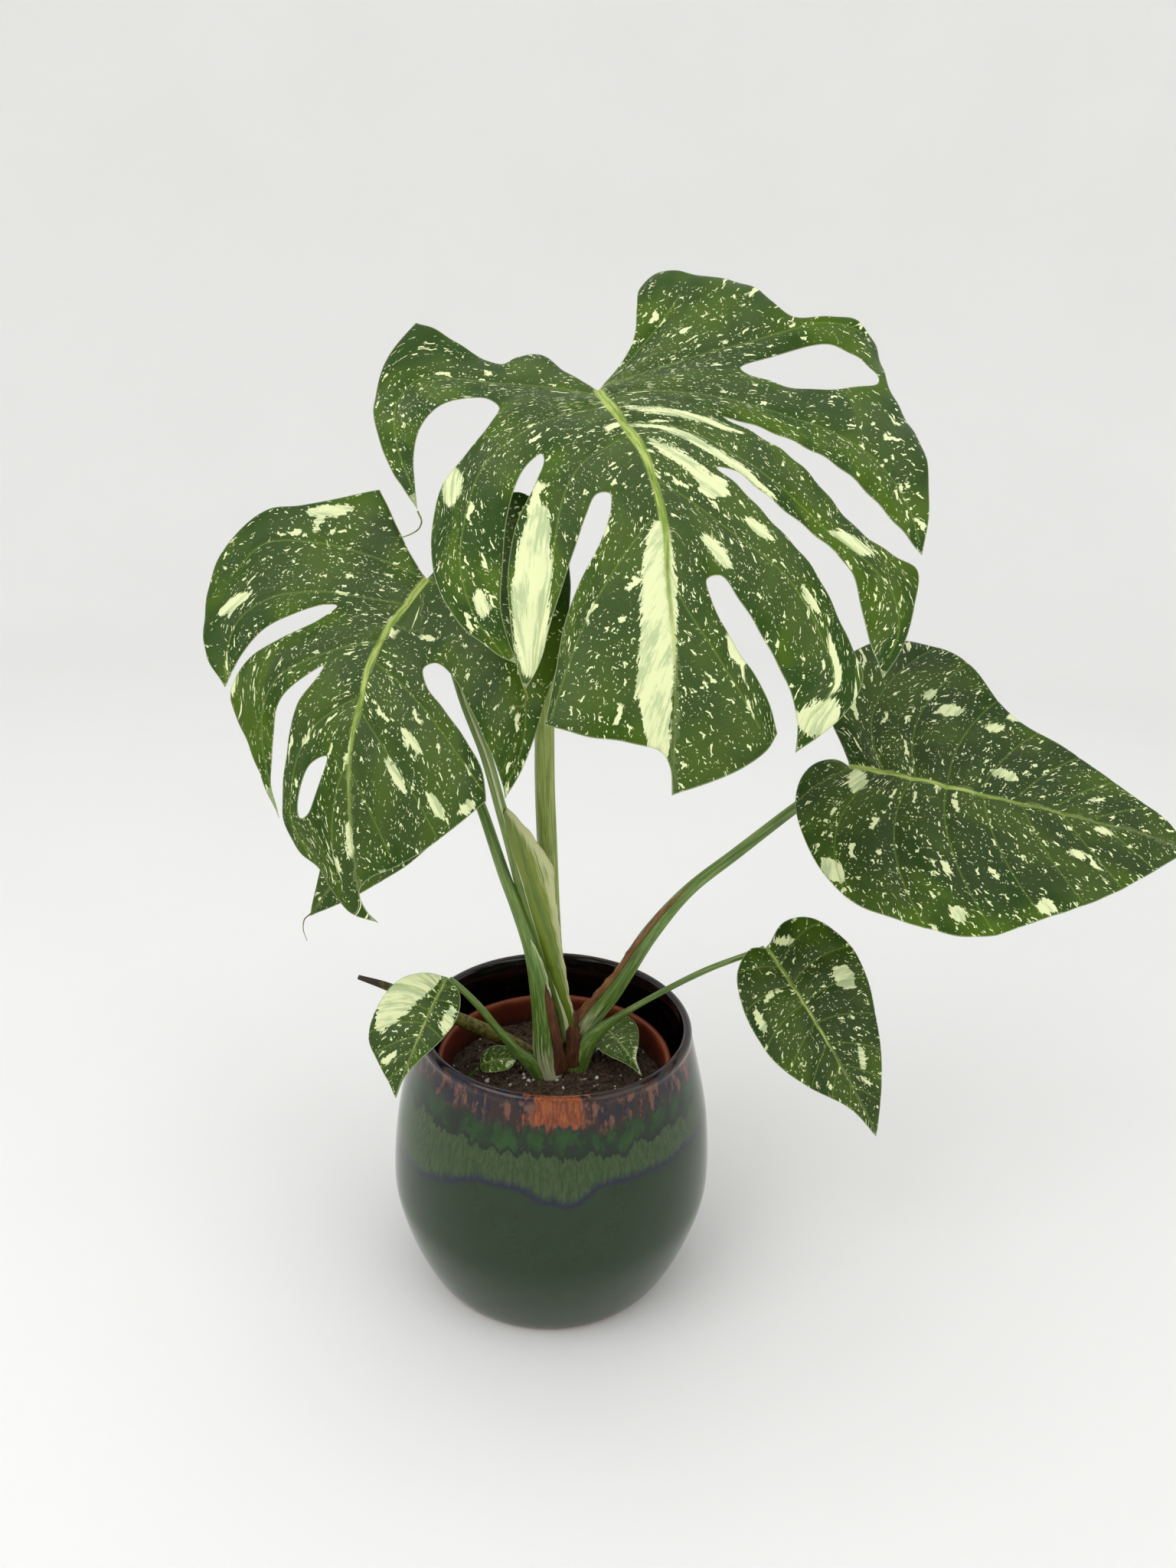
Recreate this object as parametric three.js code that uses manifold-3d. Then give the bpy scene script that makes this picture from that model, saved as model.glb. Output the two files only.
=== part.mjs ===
// A potted monstera: a glazed clay pot, the nursery pot and soil inside it, and the plant with eight leaves.
// Millimetres, +Z up. The origin is the middle of the glazed pot's underside; -Y is the plant's front.

import * as THREE from "three";
import { mergeVertices } from "three/addons/utils/BufferGeometryUtils.js";
import Module from "manifold-3d";

const wasm = await Module();
wasm.setup();

// ---------------------------------------------------------------- driving dimensions

const GAP = 0.3;               // clearance between touching pieces

const POT_HEIGHT = 199;
const POT_RIM_RADIUS = 97.6;   // outside, at the top
const POT_BELLY_RADIUS = 116;
const POT_BELLY_HEIGHT = 84;
const POT_FOOT_RADIUS = 88;    // flat underside
const POT_WALL = 7;
const POT_FLOOR = 9;
const POT_SEGMENTS = 36;

const NURSERY_RIM_RADIUS = 85;
const NURSERY_RIM_HEIGHT = 168; // above the table
const NURSERY_RIM_DEPTH = 10;
const NURSERY_FOOT_RADIUS = 68;
const NURSERY_WALL = 1.6;
const NURSERY_SEGMENTS = 32;
const DRAIN_HOLES = 6;
const DRAIN_RADIUS = 5;
const DRAIN_CIRCLE = 48;

const SOIL_EDGE_HEIGHT = 148;
const SOIL_CROWN_HEIGHT = 156;

const BLADE_THICKNESS = 1.2;
const LOBE_SAG = 8;            // most that the basal lobes sag behind the junction
const VALLEY_WIDTH = 12;       // the halves of a blade rise from a rounded valley along the midrib
const STALK_SIDES = 10;

// ---------------------------------------------------------------- finishes

const finish = (color, roughness) => new THREE.MeshStandardMaterial({ color, roughness, metalness: 0 });

const GLAZE = () => finish(0x24402c, 0.15);
const PLASTIC = () => finish(0x8a4528, 0.5);
const SOIL = () => finish(0x2e231b, 0.95);
const LEAF = () => finish(0x2f5426, 0.4);
const STALK = () => finish(0x6f9148, 0.45);
const PAPERY = () => finish(0x7a4a2a, 0.8);

// ---------------------------------------------------------------- solids and geometry

function solidOf(geometry) {
  const bare = geometry.index ? geometry.toNonIndexed() : geometry.clone();
  bare.deleteAttribute("normal");
  bare.deleteAttribute("uv");
  const merged = mergeVertices(bare, 1e-4);
  return new wasm.Manifold(
    new wasm.Mesh({
      numProp: 3,
      vertProperties: merged.attributes.position.array,
      triVerts: new Uint32Array(merged.index.array),
    }),
  );
}

function geometryOf(solid) {
  const mesh = solid.getMesh();
  const geometry = new THREE.BufferGeometry();
  geometry.setAttribute("position", new THREE.BufferAttribute(mesh.vertProperties, 3));
  geometry.setIndex(new THREE.BufferAttribute(mesh.triVerts, 1));
  geometry.computeVertexNormals();
  return geometry;
}

function named(name, geometry, material) {
  const mesh = new THREE.Mesh(geometry, material);
  mesh.name = name;
  return mesh;
}

// A solid of revolution round Z from [radius, height] pairs that start and end on the axis.
function turned(profile, segments) {
  const points = profile.map(([radius, height]) => new THREE.Vector2(radius, height));
  return new THREE.LatheGeometry(points, segments).rotateX(Math.PI / 2);
}

// Triangles that close a ring: a fan for a round one, a strip for a long thin one.
function fanCap(sides) {
  const faces = [];
  for (let k = 1; k + 1 < sides; k++) faces.push([0, k + 1, k]);
  return faces;
}

function stripCap(sides) {
  const faces = [];
  for (let k = 0; k + 1 < sides / 2; k++) {
    const other = sides - 1 - k;
    faces.push([k, other, k + 1], [k + 1, other, other - 1]);
  }
  return faces;
}

// A closed skin over rings of equal length: each ring is a list of Vector3, and `cap` closes both ends.
function skin(rings, cap) {
  const sides = rings[0].length;
  const positions = rings.flat().flatMap((p) => [p.x, p.y, p.z]);
  const index = [];
  for (let r = 0; r + 1 < rings.length; r++) {
    for (let k = 0; k < sides; k++) {
      const a = r * sides + k;
      const b = r * sides + ((k + 1) % sides);
      index.push(a, b, a + sides, b, b + sides, a + sides);
    }
  }
  const last = (rings.length - 1) * sides;
  for (const [a, b, c] of cap(sides)) {
    index.push(a, b, c);
    index.push(last + a, last + c, last + b);
  }
  const geometry = new THREE.BufferGeometry();
  geometry.setAttribute("position", new THREE.Float32BufferAttribute(positions, 3));
  geometry.setIndex(index);
  return geometry;
}

// ---------------------------------------------------------------- pots and soil

// Outside of the glazed pot, foot to lip: [radius, height].
function potOutside() {
  const curve = new THREE.SplineCurve(
    [
      [POT_FOOT_RADIUS + 3, 2.5],
      [POT_FOOT_RADIUS + 8, 10],
      [POT_BELLY_RADIUS - 9, 36],
      [POT_BELLY_RADIUS - 1, 66],
      [POT_BELLY_RADIUS, POT_BELLY_HEIGHT],
      [POT_BELLY_RADIUS - 4, 130],
      [POT_RIM_RADIUS + 5, 172],
      [POT_RIM_RADIUS, POT_HEIGHT - 7],
    ].map(([r, z]) => new THREE.Vector2(r, z)),
  );
  return curve.getPoints(10).map((p) => [p.x, p.y]);
}

function glazedPot() {
  const outside = potOutside();
  const lip = [
    [POT_RIM_RADIUS - 1, POT_HEIGHT - 2],
    [POT_RIM_RADIUS - 4, POT_HEIGHT],
    [POT_RIM_RADIUS - 6.5, POT_HEIGHT - 1.5],
    [POT_RIM_RADIUS - 7.6, POT_HEIGHT - 7],
  ];
  const inside = outside
    .slice(2, -1)
    .reverse()
    .map(([r, z]) => [r - POT_WALL, z]);
  const floor = [
    [POT_FOOT_RADIUS - 1, POT_FLOOR + 4],
    [POT_FOOT_RADIUS - 7, POT_FLOOR],
    [0, POT_FLOOR],
  ];
  const profile = [[0, 0], [POT_FOOT_RADIUS, 0], ...outside, ...lip, ...inside, ...floor];
  return turned(profile, POT_SEGMENTS);
}

const NURSERY_BOTTOM = POT_FLOOR + GAP;
const NURSERY_NECK_HEIGHT = NURSERY_RIM_HEIGHT - NURSERY_RIM_DEPTH;
const NURSERY_NECK_RADIUS = NURSERY_RIM_RADIUS - 3.2;

// The nursery pot tapers evenly from its neck down to its foot.
function nurseryInside(height) {
  const rise = (height - NURSERY_BOTTOM) / (NURSERY_NECK_HEIGHT - NURSERY_BOTTOM);
  return THREE.MathUtils.lerp(NURSERY_FOOT_RADIUS, NURSERY_NECK_RADIUS, rise) - NURSERY_WALL;
}

function nurseryPot() {
  const inner = NURSERY_NECK_RADIUS - NURSERY_WALL;
  const profile = [
    [0, NURSERY_BOTTOM],
    [NURSERY_FOOT_RADIUS, NURSERY_BOTTOM],
    [NURSERY_NECK_RADIUS, NURSERY_NECK_HEIGHT],
    [NURSERY_RIM_RADIUS, NURSERY_NECK_HEIGHT + 0.8],
    [NURSERY_RIM_RADIUS, NURSERY_RIM_HEIGHT - 1.2],
    [NURSERY_RIM_RADIUS - 1.2, NURSERY_RIM_HEIGHT],
    [inner + 1.4, NURSERY_RIM_HEIGHT],
    [inner + 0.4, NURSERY_RIM_HEIGHT - 1],
    [inner, NURSERY_NECK_HEIGHT],
    [nurseryInside(NURSERY_BOTTOM + NURSERY_WALL), NURSERY_BOTTOM + NURSERY_WALL],
    [0, NURSERY_BOTTOM + NURSERY_WALL],
  ];
  let solid = solidOf(turned(profile, NURSERY_SEGMENTS));
  for (let k = 0; k < DRAIN_HOLES; k++) {
    const angle = (k * 2 * Math.PI) / DRAIN_HOLES;
    const drill = new THREE.CylinderGeometry(DRAIN_RADIUS, DRAIN_RADIUS, 6, 10)
      .rotateX(Math.PI / 2)
      .translate(DRAIN_CIRCLE * Math.cos(angle), DRAIN_CIRCLE * Math.sin(angle), NURSERY_BOTTOM + 1);
    solid = solid.subtract(solidOf(drill));
  }
  return geometryOf(solid);
}

// The root ball: it fills the nursery pot and rises a little to the middle.
function soilBall() {
  const bottom = NURSERY_BOTTOM + NURSERY_WALL + GAP;
  const mound = SOIL_CROWN_HEIGHT - SOIL_EDGE_HEIGHT;
  const edge = nurseryInside(SOIL_EDGE_HEIGHT) - GAP;
  const surface = [0.8, 0.5, 0.25].map((r) => [edge * r, SOIL_EDGE_HEIGHT + mound * (1 - r * r)]);
  const profile = [
    [0, bottom],
    [nurseryInside(bottom) - GAP, bottom],
    [edge, SOIL_EDGE_HEIGHT],
    ...surface,
    [0, SOIL_CROWN_HEIGHT],
  ];
  return turned(profile, NURSERY_SEGMENTS);
}

// ---------------------------------------------------------------- stalks and sheaths

// Points round a stalk. `front` is the half depth towards its front side and `back` that behind it;
// a negative back makes the section a crescent, as where a sheath wraps round the next stalk.
function section(half, front, back) {
  const points = [];
  for (let k = 0; k < STALK_SIDES; k++) {
    const angle = ((k + 0.5) * 2 * Math.PI) / STALK_SIDES;
    const depth = Math.sin(angle) > 0 ? front : back;
    points.push([half * Math.cos(angle), depth * Math.sin(angle)]);
  }
  return points;
}

// A stalk through stations [x, y, z, half width, front depth, back depth], from its base up.
// `grow` fattens it, for the clearance that neighbours are cut with.
function stalk({ stations, front, rings = 12 }, grow = 0) {
  const curve = new THREE.CatmullRomCurve3(stations.map(([x, y, z]) => new THREE.Vector3(x, y, z)));
  const towards = new THREE.Vector3(...front);
  const made = [];
  for (let r = 0; r <= rings; r++) {
    const u = r / rings;
    const along = u * (stations.length - 1);
    const low = Math.min(Math.floor(along), stations.length - 2);
    const blend = (column) =>
      THREE.MathUtils.lerp(stations[low][column], stations[low + 1][column], along - low);
    const centre = curve.getPoint(u);
    const tangent = curve.getTangent(u);
    const depthAxis = towards.clone().addScaledVector(tangent, -towards.dot(tangent)).normalize();
    const widthAxis = depthAxis.clone().cross(tangent).normalize();
    const end = r === 0 ? -grow : r === rings ? grow : 0;
    centre.addScaledVector(tangent, end);
    made.push(
      section(blend(3) + grow, blend(4) + grow, blend(5) + grow).map(([w, d]) =>
        centre.clone().addScaledVector(widthAxis, w).addScaledVector(depthAxis, d),
      ),
    );
  }
  return skin(made, fanCap);
}

const CROWN = {
  front: [0, -1, 0],
  rings: 6,
  stations: [
    [0, 9, 112, 9, 9, 9],
    [0, 9, 130, 14, 13, 13],
    [1, 9, 152, 13, 12, 12],
    [2, 9, 172, 9, 8, 8],
    [2, 10, 186, 7, 5, 5],
  ],
};

// In the order in which the plant holds them: each one gives way to those before it.
const STALKS = {
  stalk_left_leaf: {
    front: [-0.3, -1, 0.1],
    rings: 18,
    stations: [
      [3, 5, 176, 8, 6, 5],
      [3, 6, 200, 11, 7, 3],
      [-3, 5, 232, 12, 8, -2],
      [-9, 4, 265, 13, 9, -5],
      [-17, 4, 300, 12, 8, -4],
      [-29, 4, 330, 7.5, 5, 1],
      [-39, 3, 354, 4.3, 4, 4],
      [-50, -2, 397, 3.8, 3.8, 3.8],
      [-64, -5, 437, 3.6, 3.6, 3.6],
      [-78, -8, 488, 3.3, 3.3, 3.3],
      [-85, -16, 512.5, 3.6, 3.6, 3.6],
    ],
  },
  stalk_low_left_leaf: {
    front: [-0.4, -1, 0.2],
    rings: 14,
    stations: [
      [-3, -5, 154, 9, 8, 4],
      [-8, -8, 190, 8, 7, 4],
      [-12, -9, 225, 6.5, 6, 4],
      [-18, -9, 257, 5, 5, 4],
      [-28, -6, 287, 4.2, 4.2, 4.2],
      [-38, 0, 312, 4, 4, 4],
      [-53, 15, 350, 3.6, 3.6, 3.6],
      [-65, 36, 370, 3.2, 3.2, 3.2],
      [-72, 47, 381, 3, 3, 3],
    ],
  },
  stalk_right_leaf: {
    front: [0, -1, 0.4],
    rings: 14,
    stations: [
      [14, 14, 168, 9, 7, 4],
      [24, 15, 187, 8, 7, 4],
      [40, 14, 212, 7, 6.5, 4],
      [66, 13, 262, 6, 6, 4],
      [91, 12, 297, 4.4, 4.4, 4.4],
      [121, 12, 325, 4, 4, 4],
      [150, 12, 352, 3.7, 3.7, 3.7],
      [174, 12, 374, 3.4, 3.4, 3.4],
      [190.5, 14.5, 389, 3.6, 3.6, 3.6],
    ],
  },
  stalk_low_right_leaf: {
    front: [0.3, -1, 0.4],
    rings: 12,
    stations: [
      [15, 1, 152, 9, 5, 3],
      [19, 2, 167, 8.5, 4.5, 3],
      [28, 4, 182, 5.5, 3.5, 3],
      [50, 5, 201, 2.6, 2.6, 2.6],
      [104, 4, 237, 2.2, 2.2, 2.2],
      [136, 4, 252, 2, 2, 2],
      [146, 4, 256.5, 2.1, 2.1, 2.1],
    ],
  },
  stalk_small_left_leaf: {
    front: [-0.3, -1, 0.5],
    rings: 12,
    stations: [
      [-9, -8, 153, 6, 4, 3],
      [-17, -11, 168, 6, 4, 2],
      [-26, -13, 178, 3.8, 3.2, 2.8],
      [-40, -16, 198, 2.8, 2.8, 2.8],
      [-53, -19, 218, 2.6, 2.6, 2.6],
      [-66, -21, 234, 2.2, 2.2, 2.2],
      [-73, -21.5, 241, 2, 2, 2],
    ],
  },
  stalk_top_leaf: {
    front: [0, -1, 0],
    rings: 16,
    stations: [
      [3, 21, 184, 5, 4, 4],
      [0, 23, 215, 6, 5, 5],
      [-4, 25, 252, 6.6, 6, 6],
      [-8, 29, 306, 7, 6.6, 6.6],
      [-12, 35, 378, 6.8, 6.4, 6.4],
      [-12, 42, 457, 6, 6, 6],
      [-7, 45, 514, 5.4, 5.4, 5.4],
      [2, 43, 563, 4.8, 4.8, 4.8],
      [11, 38, 602, 4.4, 4.4, 4.4],
      [15.5, 33.5, 621, 4.8, 4.8, 4.8],
    ],
  },
  withered_stalk: {
    front: [0, -1, 0.5],
    rings: 10,
    stations: [
      [-16, 20, 155, 4.5, 4.5, 4.5],
      [-37, 20, 167, 5, 4.6, 4.6],
      [-59, 15, 181, 5, 4.6, 4.6],
      [-72, 11, 190, 4.6, 4, 4],
      [-93, 4, 205, 4, 3, 3],
      [-118, -2, 222, 3, 2.2, 2.2],
      [-138, -8, 233, 1.6, 1.2, 1.2],
    ],
  },
  stalk_seedling_right: {
    front: [0, -1, 0.5],
    rings: 5,
    stations: [
      [44, 30, 150, 1.6, 1.6, 1.6],
      [42, 34, 160, 1.5, 1.5, 1.5],
      [39, 34.5, 169, 1.3, 1.3, 1.3],
    ],
  },
  stalk_seedling_left: {
    front: [0, -1, 0.5],
    rings: 5,
    stations: [
      [-64, -10, 147, 1.4, 1.4, 1.4],
      [-60, -12, 156, 1.3, 1.3, 1.3],
      [-54.5, -13, 163, 1.2, 1.2, 1.2],
    ],
  },
};

// Dried sheaths: a thin wing along the upper side of the right stalk, and papery strips at the stem.
const DRY_SHEATHS = {
  dry_sheath_right: {
    front: [0, -1, 0],
    rings: 8,
    stations: [
      [14.5, 11, 199, 2.2, 1.2, 0.4],
      [23, 11, 213, 2.8, 1.3, 0.4],
      [43, 10.5, 246.5, 2.8, 1.3, 0.4],
      [58, 10, 270, 2.4, 1.2, 0.4],
      [73.5, 10, 289, 1.6, 1, 0.4],
      [86, 10, 303.5, 0.9, 0.7, 0.4],
    ],
  },
  dry_sheath_front: {
    front: [0.5, -1, 0.1],
    rings: 8,
    stations: [
      [5, -7, 158, 5, 3, -2],
      [3, -8, 184, 4.5, 3, -2],
      [-1, -8, 208, 3, 2, -1],
      [-5, -7, 232, 1.4, 1.2, 0.4],
    ],
  },
  dry_sheath_stem: {
    front: [0.8, -0.6, 0.1],
    rings: 6,
    stations: [
      [19, 10, 168, 5, 2.4, -1],
      [16, 9, 182, 5, 2.4, -1],
      [13, 9, 196, 3.5, 1.8, -0.6],
    ],
  },
};

// ---------------------------------------------------------------- leaf blades

// A blade's own frame: it starts at the junction with the stalk and `along` runs to the tip;
// `across` is to the right of it, seen on the upper face with the tip down.
function bladeFrame({ junction, tip, face }) {
  const origin = new THREE.Vector3(...junction);
  const along = new THREE.Vector3(...tip).sub(origin);
  const length = along.length();
  along.normalize();
  const up = new THREE.Vector3(...face);
  up.addScaledVector(along, -up.dot(along)).normalize();
  const across = up.clone().cross(along);
  const matrix = new THREE.Matrix4().makeBasis(along, across, up).setPosition(origin);
  return { matrix, length };
}

// Height of the blade's middle surface over the line from junction to tip. The midrib arches, the basal
// lobes sag behind the junction, the halves rise from the midrib and then droop to the margin.
function bladeHeight({ arch, keel, droop }, length, along, across) {
  const middle = length / 2;
  const slope = (2 * arch) / middle;
  const rib =
    along >= 0
      ? arch * (1 - ((along - middle) / middle) ** 2)
      : LOBE_SAG * (Math.exp((along * slope) / LOBE_SAG) - 1);
  const halves = keel * (Math.hypot(across, VALLEY_WIDTH) - VALLEY_WIDTH) - (droop * across * across) / 100;
  return rib + halves;
}

const smooth = (points, steps, closed = false) =>
  new THREE.CatmullRomCurve3(
    points.map(([along, across]) => new THREE.Vector3(along, across, 0)),
    closed,
  )
    .getPoints(steps * (points.length - (closed ? 0 : 1)))
    .map((p) => new THREE.Vector2(p.x, p.y));

// The margin: smooth runs that meet at sharp points, each run starting where the last one ends.
function marginShape({ margin, holes = [], steps = 1 }) {
  const outline = margin.flatMap((run) => smooth(run, steps).slice(0, -1));
  const shape = new THREE.Shape(outline);
  for (const hole of holes) {
    shape.holes.push(new THREE.Path(smooth(hole, steps, true).slice(0, -1)));
  }
  return shape;
}

// A thin bent sheet over the whole blade, in cells of about `cell`.
function bentSheet(leaf, length, cell) {
  const points = leaf.margin.flat();
  const border = 6;
  const low = [0, 1].map((axis) => Math.min(...points.map((p) => p[axis])) - border);
  const high = [0, 1].map((axis) => Math.max(...points.map((p) => p[axis])) + border);
  const counts = [0, 1].map((axis) => Math.ceil((high[axis] - low[axis]) / cell));
  const vertex = (i, j, side) => {
    const along = THREE.MathUtils.lerp(low[0], high[0], i / counts[0]);
    const across = THREE.MathUtils.lerp(low[1], high[1], j / counts[1]);
    const height = bladeHeight(leaf, length, along, across) + (side * BLADE_THICKNESS) / 2;
    return new THREE.Vector3(along, across, height);
  };
  const rings = [];
  for (let i = 0; i <= counts[0]; i++) {
    const ring = [];
    for (let j = 0; j <= counts[1]; j++) ring.push(vertex(i, j, -1));
    for (let j = counts[1]; j >= 0; j--) ring.push(vertex(i, j, 1));
    rings.push(ring);
  }
  return skin(rings, stripCap);
}

function blade(leaf) {
  const { matrix, length } = bladeFrame(leaf);
  const sheet = solidOf(bentSheet(leaf, length, leaf.cell));
  const reach = 160;
  const cutter = new THREE.ExtrudeGeometry(marginShape(leaf), { depth: 2 * reach, bevelEnabled: false });
  const cut = sheet.intersect(solidOf(cutter.translate(0, 0, -reach)));
  const mesh = new THREE.Mesh(geometryOf(cut), LEAF());
  mesh.applyMatrix4(matrix);
  return mesh;
}

// Margins as [along, across]; the runs meet at lobe tips and slit mouths.
const LEAVES = {
  leaf_top: {
    junction: [16, 30, 625],
    tip: [58, -154, 432],
    face: [0, -0.72, 0.69],
    arch: 22,
    keel: 0.05,
    droop: 0.045,
    cell: 25,
    margin: [
      [[0, 0], [-18, -16], [-38, -32], [-38, -46], [-34, -56], [-44, -73], [-60, -92], [-70, -106]],
      [[-70, -106], [-44, -128], [-10, -137], [25, -135], [60, -127], [91, -116]],
      [
        [91, -116], [68, -116], [42, -115], [20, -108], [4, -95], [-2, -80], [0, -69], [9, -62],
        [25, -69], [45, -83], [70, -98], [95, -107], [120, -111], [145, -109], [168, -100], [184, -84],
        [192, -72],
      ],
      [
        [192, -72], [165, -77], [133, -73], [105, -68], [80, -60], [60, -50], [53, -42], [60, -41],
        [80, -49], [110, -64], [140, -71], [170, -73], [192, -72.5], [207, -70],
      ],
      [
        [207, -70], [190, -59], [170, -51], [150, -42], [128, -33], [106, -23], [93, -15], [93, -8],
        [104, -9], [125, -18], [150, -33], [175, -45], [200, -53], [216, -58], [227, -62],
      ],
      [[227, -62], [236, -41], [242, -20], [248, -3], [256, 1], [270, 0]],
      [[270, 0], [267, 16], [260, 40], [253, 54], [246, 60]],
      [
        [246, 60], [222, 56], [190, 44], [168, 37], [155, 37], [154, 44], [168, 51], [192, 61],
        [222, 69], [242, 71], [257, 68],
      ],
      [
        [257, 68], [248, 86], [236, 102], [220, 112], [198, 109], [160, 97], [125, 81], [98, 66],
        [81, 56], [84, 63], [104, 79], [132, 102], [158, 117], [190, 120], [222, 123],
      ],
      [
        [222, 123], [205, 138], [183, 149], [163, 154], [150, 142], [132, 130], [104, 116],
        [72, 97], [48, 78], [39, 69], [44, 79], [60, 103], [85, 126], [118, 146], [154, 159],
      ],
      [
        [154, 159], [125, 172], [85, 181], [48, 181], [18, 178], [-10, 183], [-32, 185], [-47, 176],
        [-50, 160], [-51, 140], [-60, 128], [-78, 118], [-88, 102], [-90, 86], [-98, 66], [-99, 52],
        [-87, 40], [-68, 35], [-46, 30], [-22, 16], [0, 0],
      ],
    ],
    holes: [
      [[-6, 90], [-20, 112], [-29, 142], [-24, 160], [-6, 171], [18, 171], [20, 150], [16, 122], [5, 100]],
    ],
  },
  leaf_left: {
    junction: [-85.6, -20, 515.2],
    tip: [-108.6, -95, 321.1],
    face: [-0.28, -0.72, 0.62],
    arch: 16,
    keel: 0.05,
    droop: 0.03,
    cell: 25,
    margin: [
      [[0, 0], [-19, -17], [-38, -31], [-54, -42]],
      [
        [-54, -42], [-49, -66], [-42, -98], [-38, -120], [-23, -137], [2, -147], [30, -147], [58, -137],
        [80, -117],
      ],
      [
        [80, -117], [58, -110], [40, -100], [29, -82], [22, -62], [22, -53], [31, -63], [45, -87],
        [59, -104], [74, -111], [88, -112], [110, -99], [132, -84], [155, -68],
      ],
      [
        [155, -68], [135, -76], [112, -79], [92, -80], [80, -75], [66, -60], [60, -51], [68, -54],
        [85, -65], [105, -68], [135, -67], [158, -64], [174, -53], [182, -40], [195, -30], [206, -18],
        [209, 0],
      ],
      [[209, 0], [203, -8], [192, -13], [182, -5], [175, 8], [160, 31], [142, 52], [127, 66]],
      [
        [127, 66], [112, 62], [95, 50], [78, 33], [66, 19], [55, 13], [51, 20], [57, 33], [75, 49],
        [95, 62], [112, 72], [124, 77],
      ],
      [
        [124, 77], [102, 86], [75, 92], [40, 96], [5, 95], [-28, 84], [-50, 66], [-57, 48], [-35, 27],
        [-12, 9], [0, 0],
      ],
    ],
    holes: [[[114, -40], [128, -42], [150, -48], [153, -53], [138, -55], [120, -50]]],
  },
  leaf_right: {
    junction: [193, 10, 392.6],
    tip: [392.9, -60, 366.2],
    face: [0.1, -0.62, 0.78],
    arch: 14,
    keel: 0.04,
    droop: 0.04,
    cell: 24,
    steps: 2,
    margin: [
      [
        [0, 0], [-11, 3], [-22, -2], [-29, -16], [-28, -36], [-18, -60], [2, -87], [30, -105],
        [65, -111], [104, -106], [131, -88], [163, -59], [190, -29], [213, 0],
      ],
      [
        [213, 0], [200, 14], [174, 27], [140, 42], [108, 56], [83, 73], [60, 97], [34, 115],
        [8, 119], [-15, 108], [-28, 84], [-29, 58], [-22, 36], [-10, 16], [0, 0],
      ],
    ],
  },
  leaf_low_right: {
    junction: [147.1, 0, 259],
    tip: [228.2, -45, 135.9],
    face: [0.15, -0.75, 0.65],
    arch: 8,
    keel: 0.05,
    droop: 0.05,
    cell: 20,
    steps: 2,
    margin: [
      [[0, 0], [-6, -11], [3, -30], [30, -42], [62, -42], [92, -30], [125, -9], [154, 0]],
      [[154, 0], [128, 19], [95, 37], [60, 50], [28, 53], [0, 41], [-8, 22], [0, 0]],
    ],
  },
  leaf_low_left: {
    junction: [-76, 45, 386],
    tip: [-175, 15, 268],
    face: [-0.3, -0.7, 0.6],
    arch: 8,
    keel: 0.05,
    droop: 0.05,
    cell: 20,
    steps: 2,
    margin: [
      [[0, 0], [-12, -14], [-6, -32], [16, -46], [46, -48], [80, -38], [110, -24], [134, -12], [157, 0]],
      [[157, 0], [138, 12], [112, 26], [80, 38], [48, 42], [18, 36], [-2, 20], [0, 0]],
    ],
  },
  leaf_small_left: {
    junction: [-74.9, -25, 244.7],
    tip: [-105.3, -70, 177.7],
    face: [-0.2, -0.7, 0.68],
    arch: 5,
    keel: 0.05,
    droop: 0.05,
    cell: 16,
    steps: 2,
    margin: [
      [[0, 0], [3, -16], [14, -30], [37, -36], [57, -33], [70, -19], [80, -6], [86, 0]],
      [[86, 0], [72, 1], [56, 8], [40, 16], [22, 20], [7, 14], [0, 0]],
    ],
  },
  leaf_seedling_right: {
    junction: [37.4, 32, 172],
    tip: [62.3, -23.4, 168],
    face: [0, -0.25, 0.96],
    arch: 4,
    keel: 0.08,
    droop: 0.05,
    cell: 14,
    steps: 2,
    margin: [
      [[0, 0], [-6, -2], [-2, -11], [20, -18], [34, -15], [48, -6], [61, 0]],
      [[61, 0], [46, 3], [32, 12], [13, 20], [-7, 19], [-9, 8], [0, 0]],
    ],
  },
  leaf_seedling_left: {
    junction: [-53.3, -11.5, 166],
    tip: [-26.5, -11.6, 172],
    face: [0, -0.3, 0.95],
    arch: 3,
    keel: 0.05,
    droop: 0.05,
    cell: 9,
    steps: 2,
    margin: [
      [[0, 0], [2, -7], [11, -11], [22, -9], [27, 0]],
      [[27, 0], [22, 9], [10, 12], [1, 8], [0, 0]],
    ],
  },
};

// ---------------------------------------------------------------- assembly

const pot = new THREE.Group();
pot.add(named("glazed_pot", glazedPot(), GLAZE()));
pot.add(named("nursery_pot", nurseryPot(), PLASTIC()));

// Each plant piece is cut by the clearance of the pieces made before it.
const plant = new THREE.Group();
const cleared = [];

function addGrown(name, spec, material) {
  let solid = solidOf(stalk(spec));
  for (const other of cleared) solid = solid.subtract(other);
  plant.add(named(name, geometryOf(solid), material));
  cleared.push(solidOf(stalk(spec, GAP)));
}

addGrown("main_stem", CROWN, STALK());
for (const [name, spec] of Object.entries(STALKS)) addGrown(name, spec, STALK());
for (const [name, spec] of Object.entries(DRY_SHEATHS)) addGrown(name, spec, PAPERY());

let soil = solidOf(soilBall());
for (const other of cleared) soil = soil.subtract(other);
pot.add(named("potting_soil", geometryOf(soil), SOIL()));

for (const [name, leaf] of Object.entries(LEAVES)) {
  const mesh = blade(leaf);
  mesh.name = name;
  plant.add(mesh);
}

const root = new THREE.Group();
root.add(pot, plant);

export default root;
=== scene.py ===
"""Looks of a potted variegated monstera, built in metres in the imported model's frame."""

import logging
import math
from dataclasses import dataclass, field
from enum import Enum
from typing import Protocol

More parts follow.
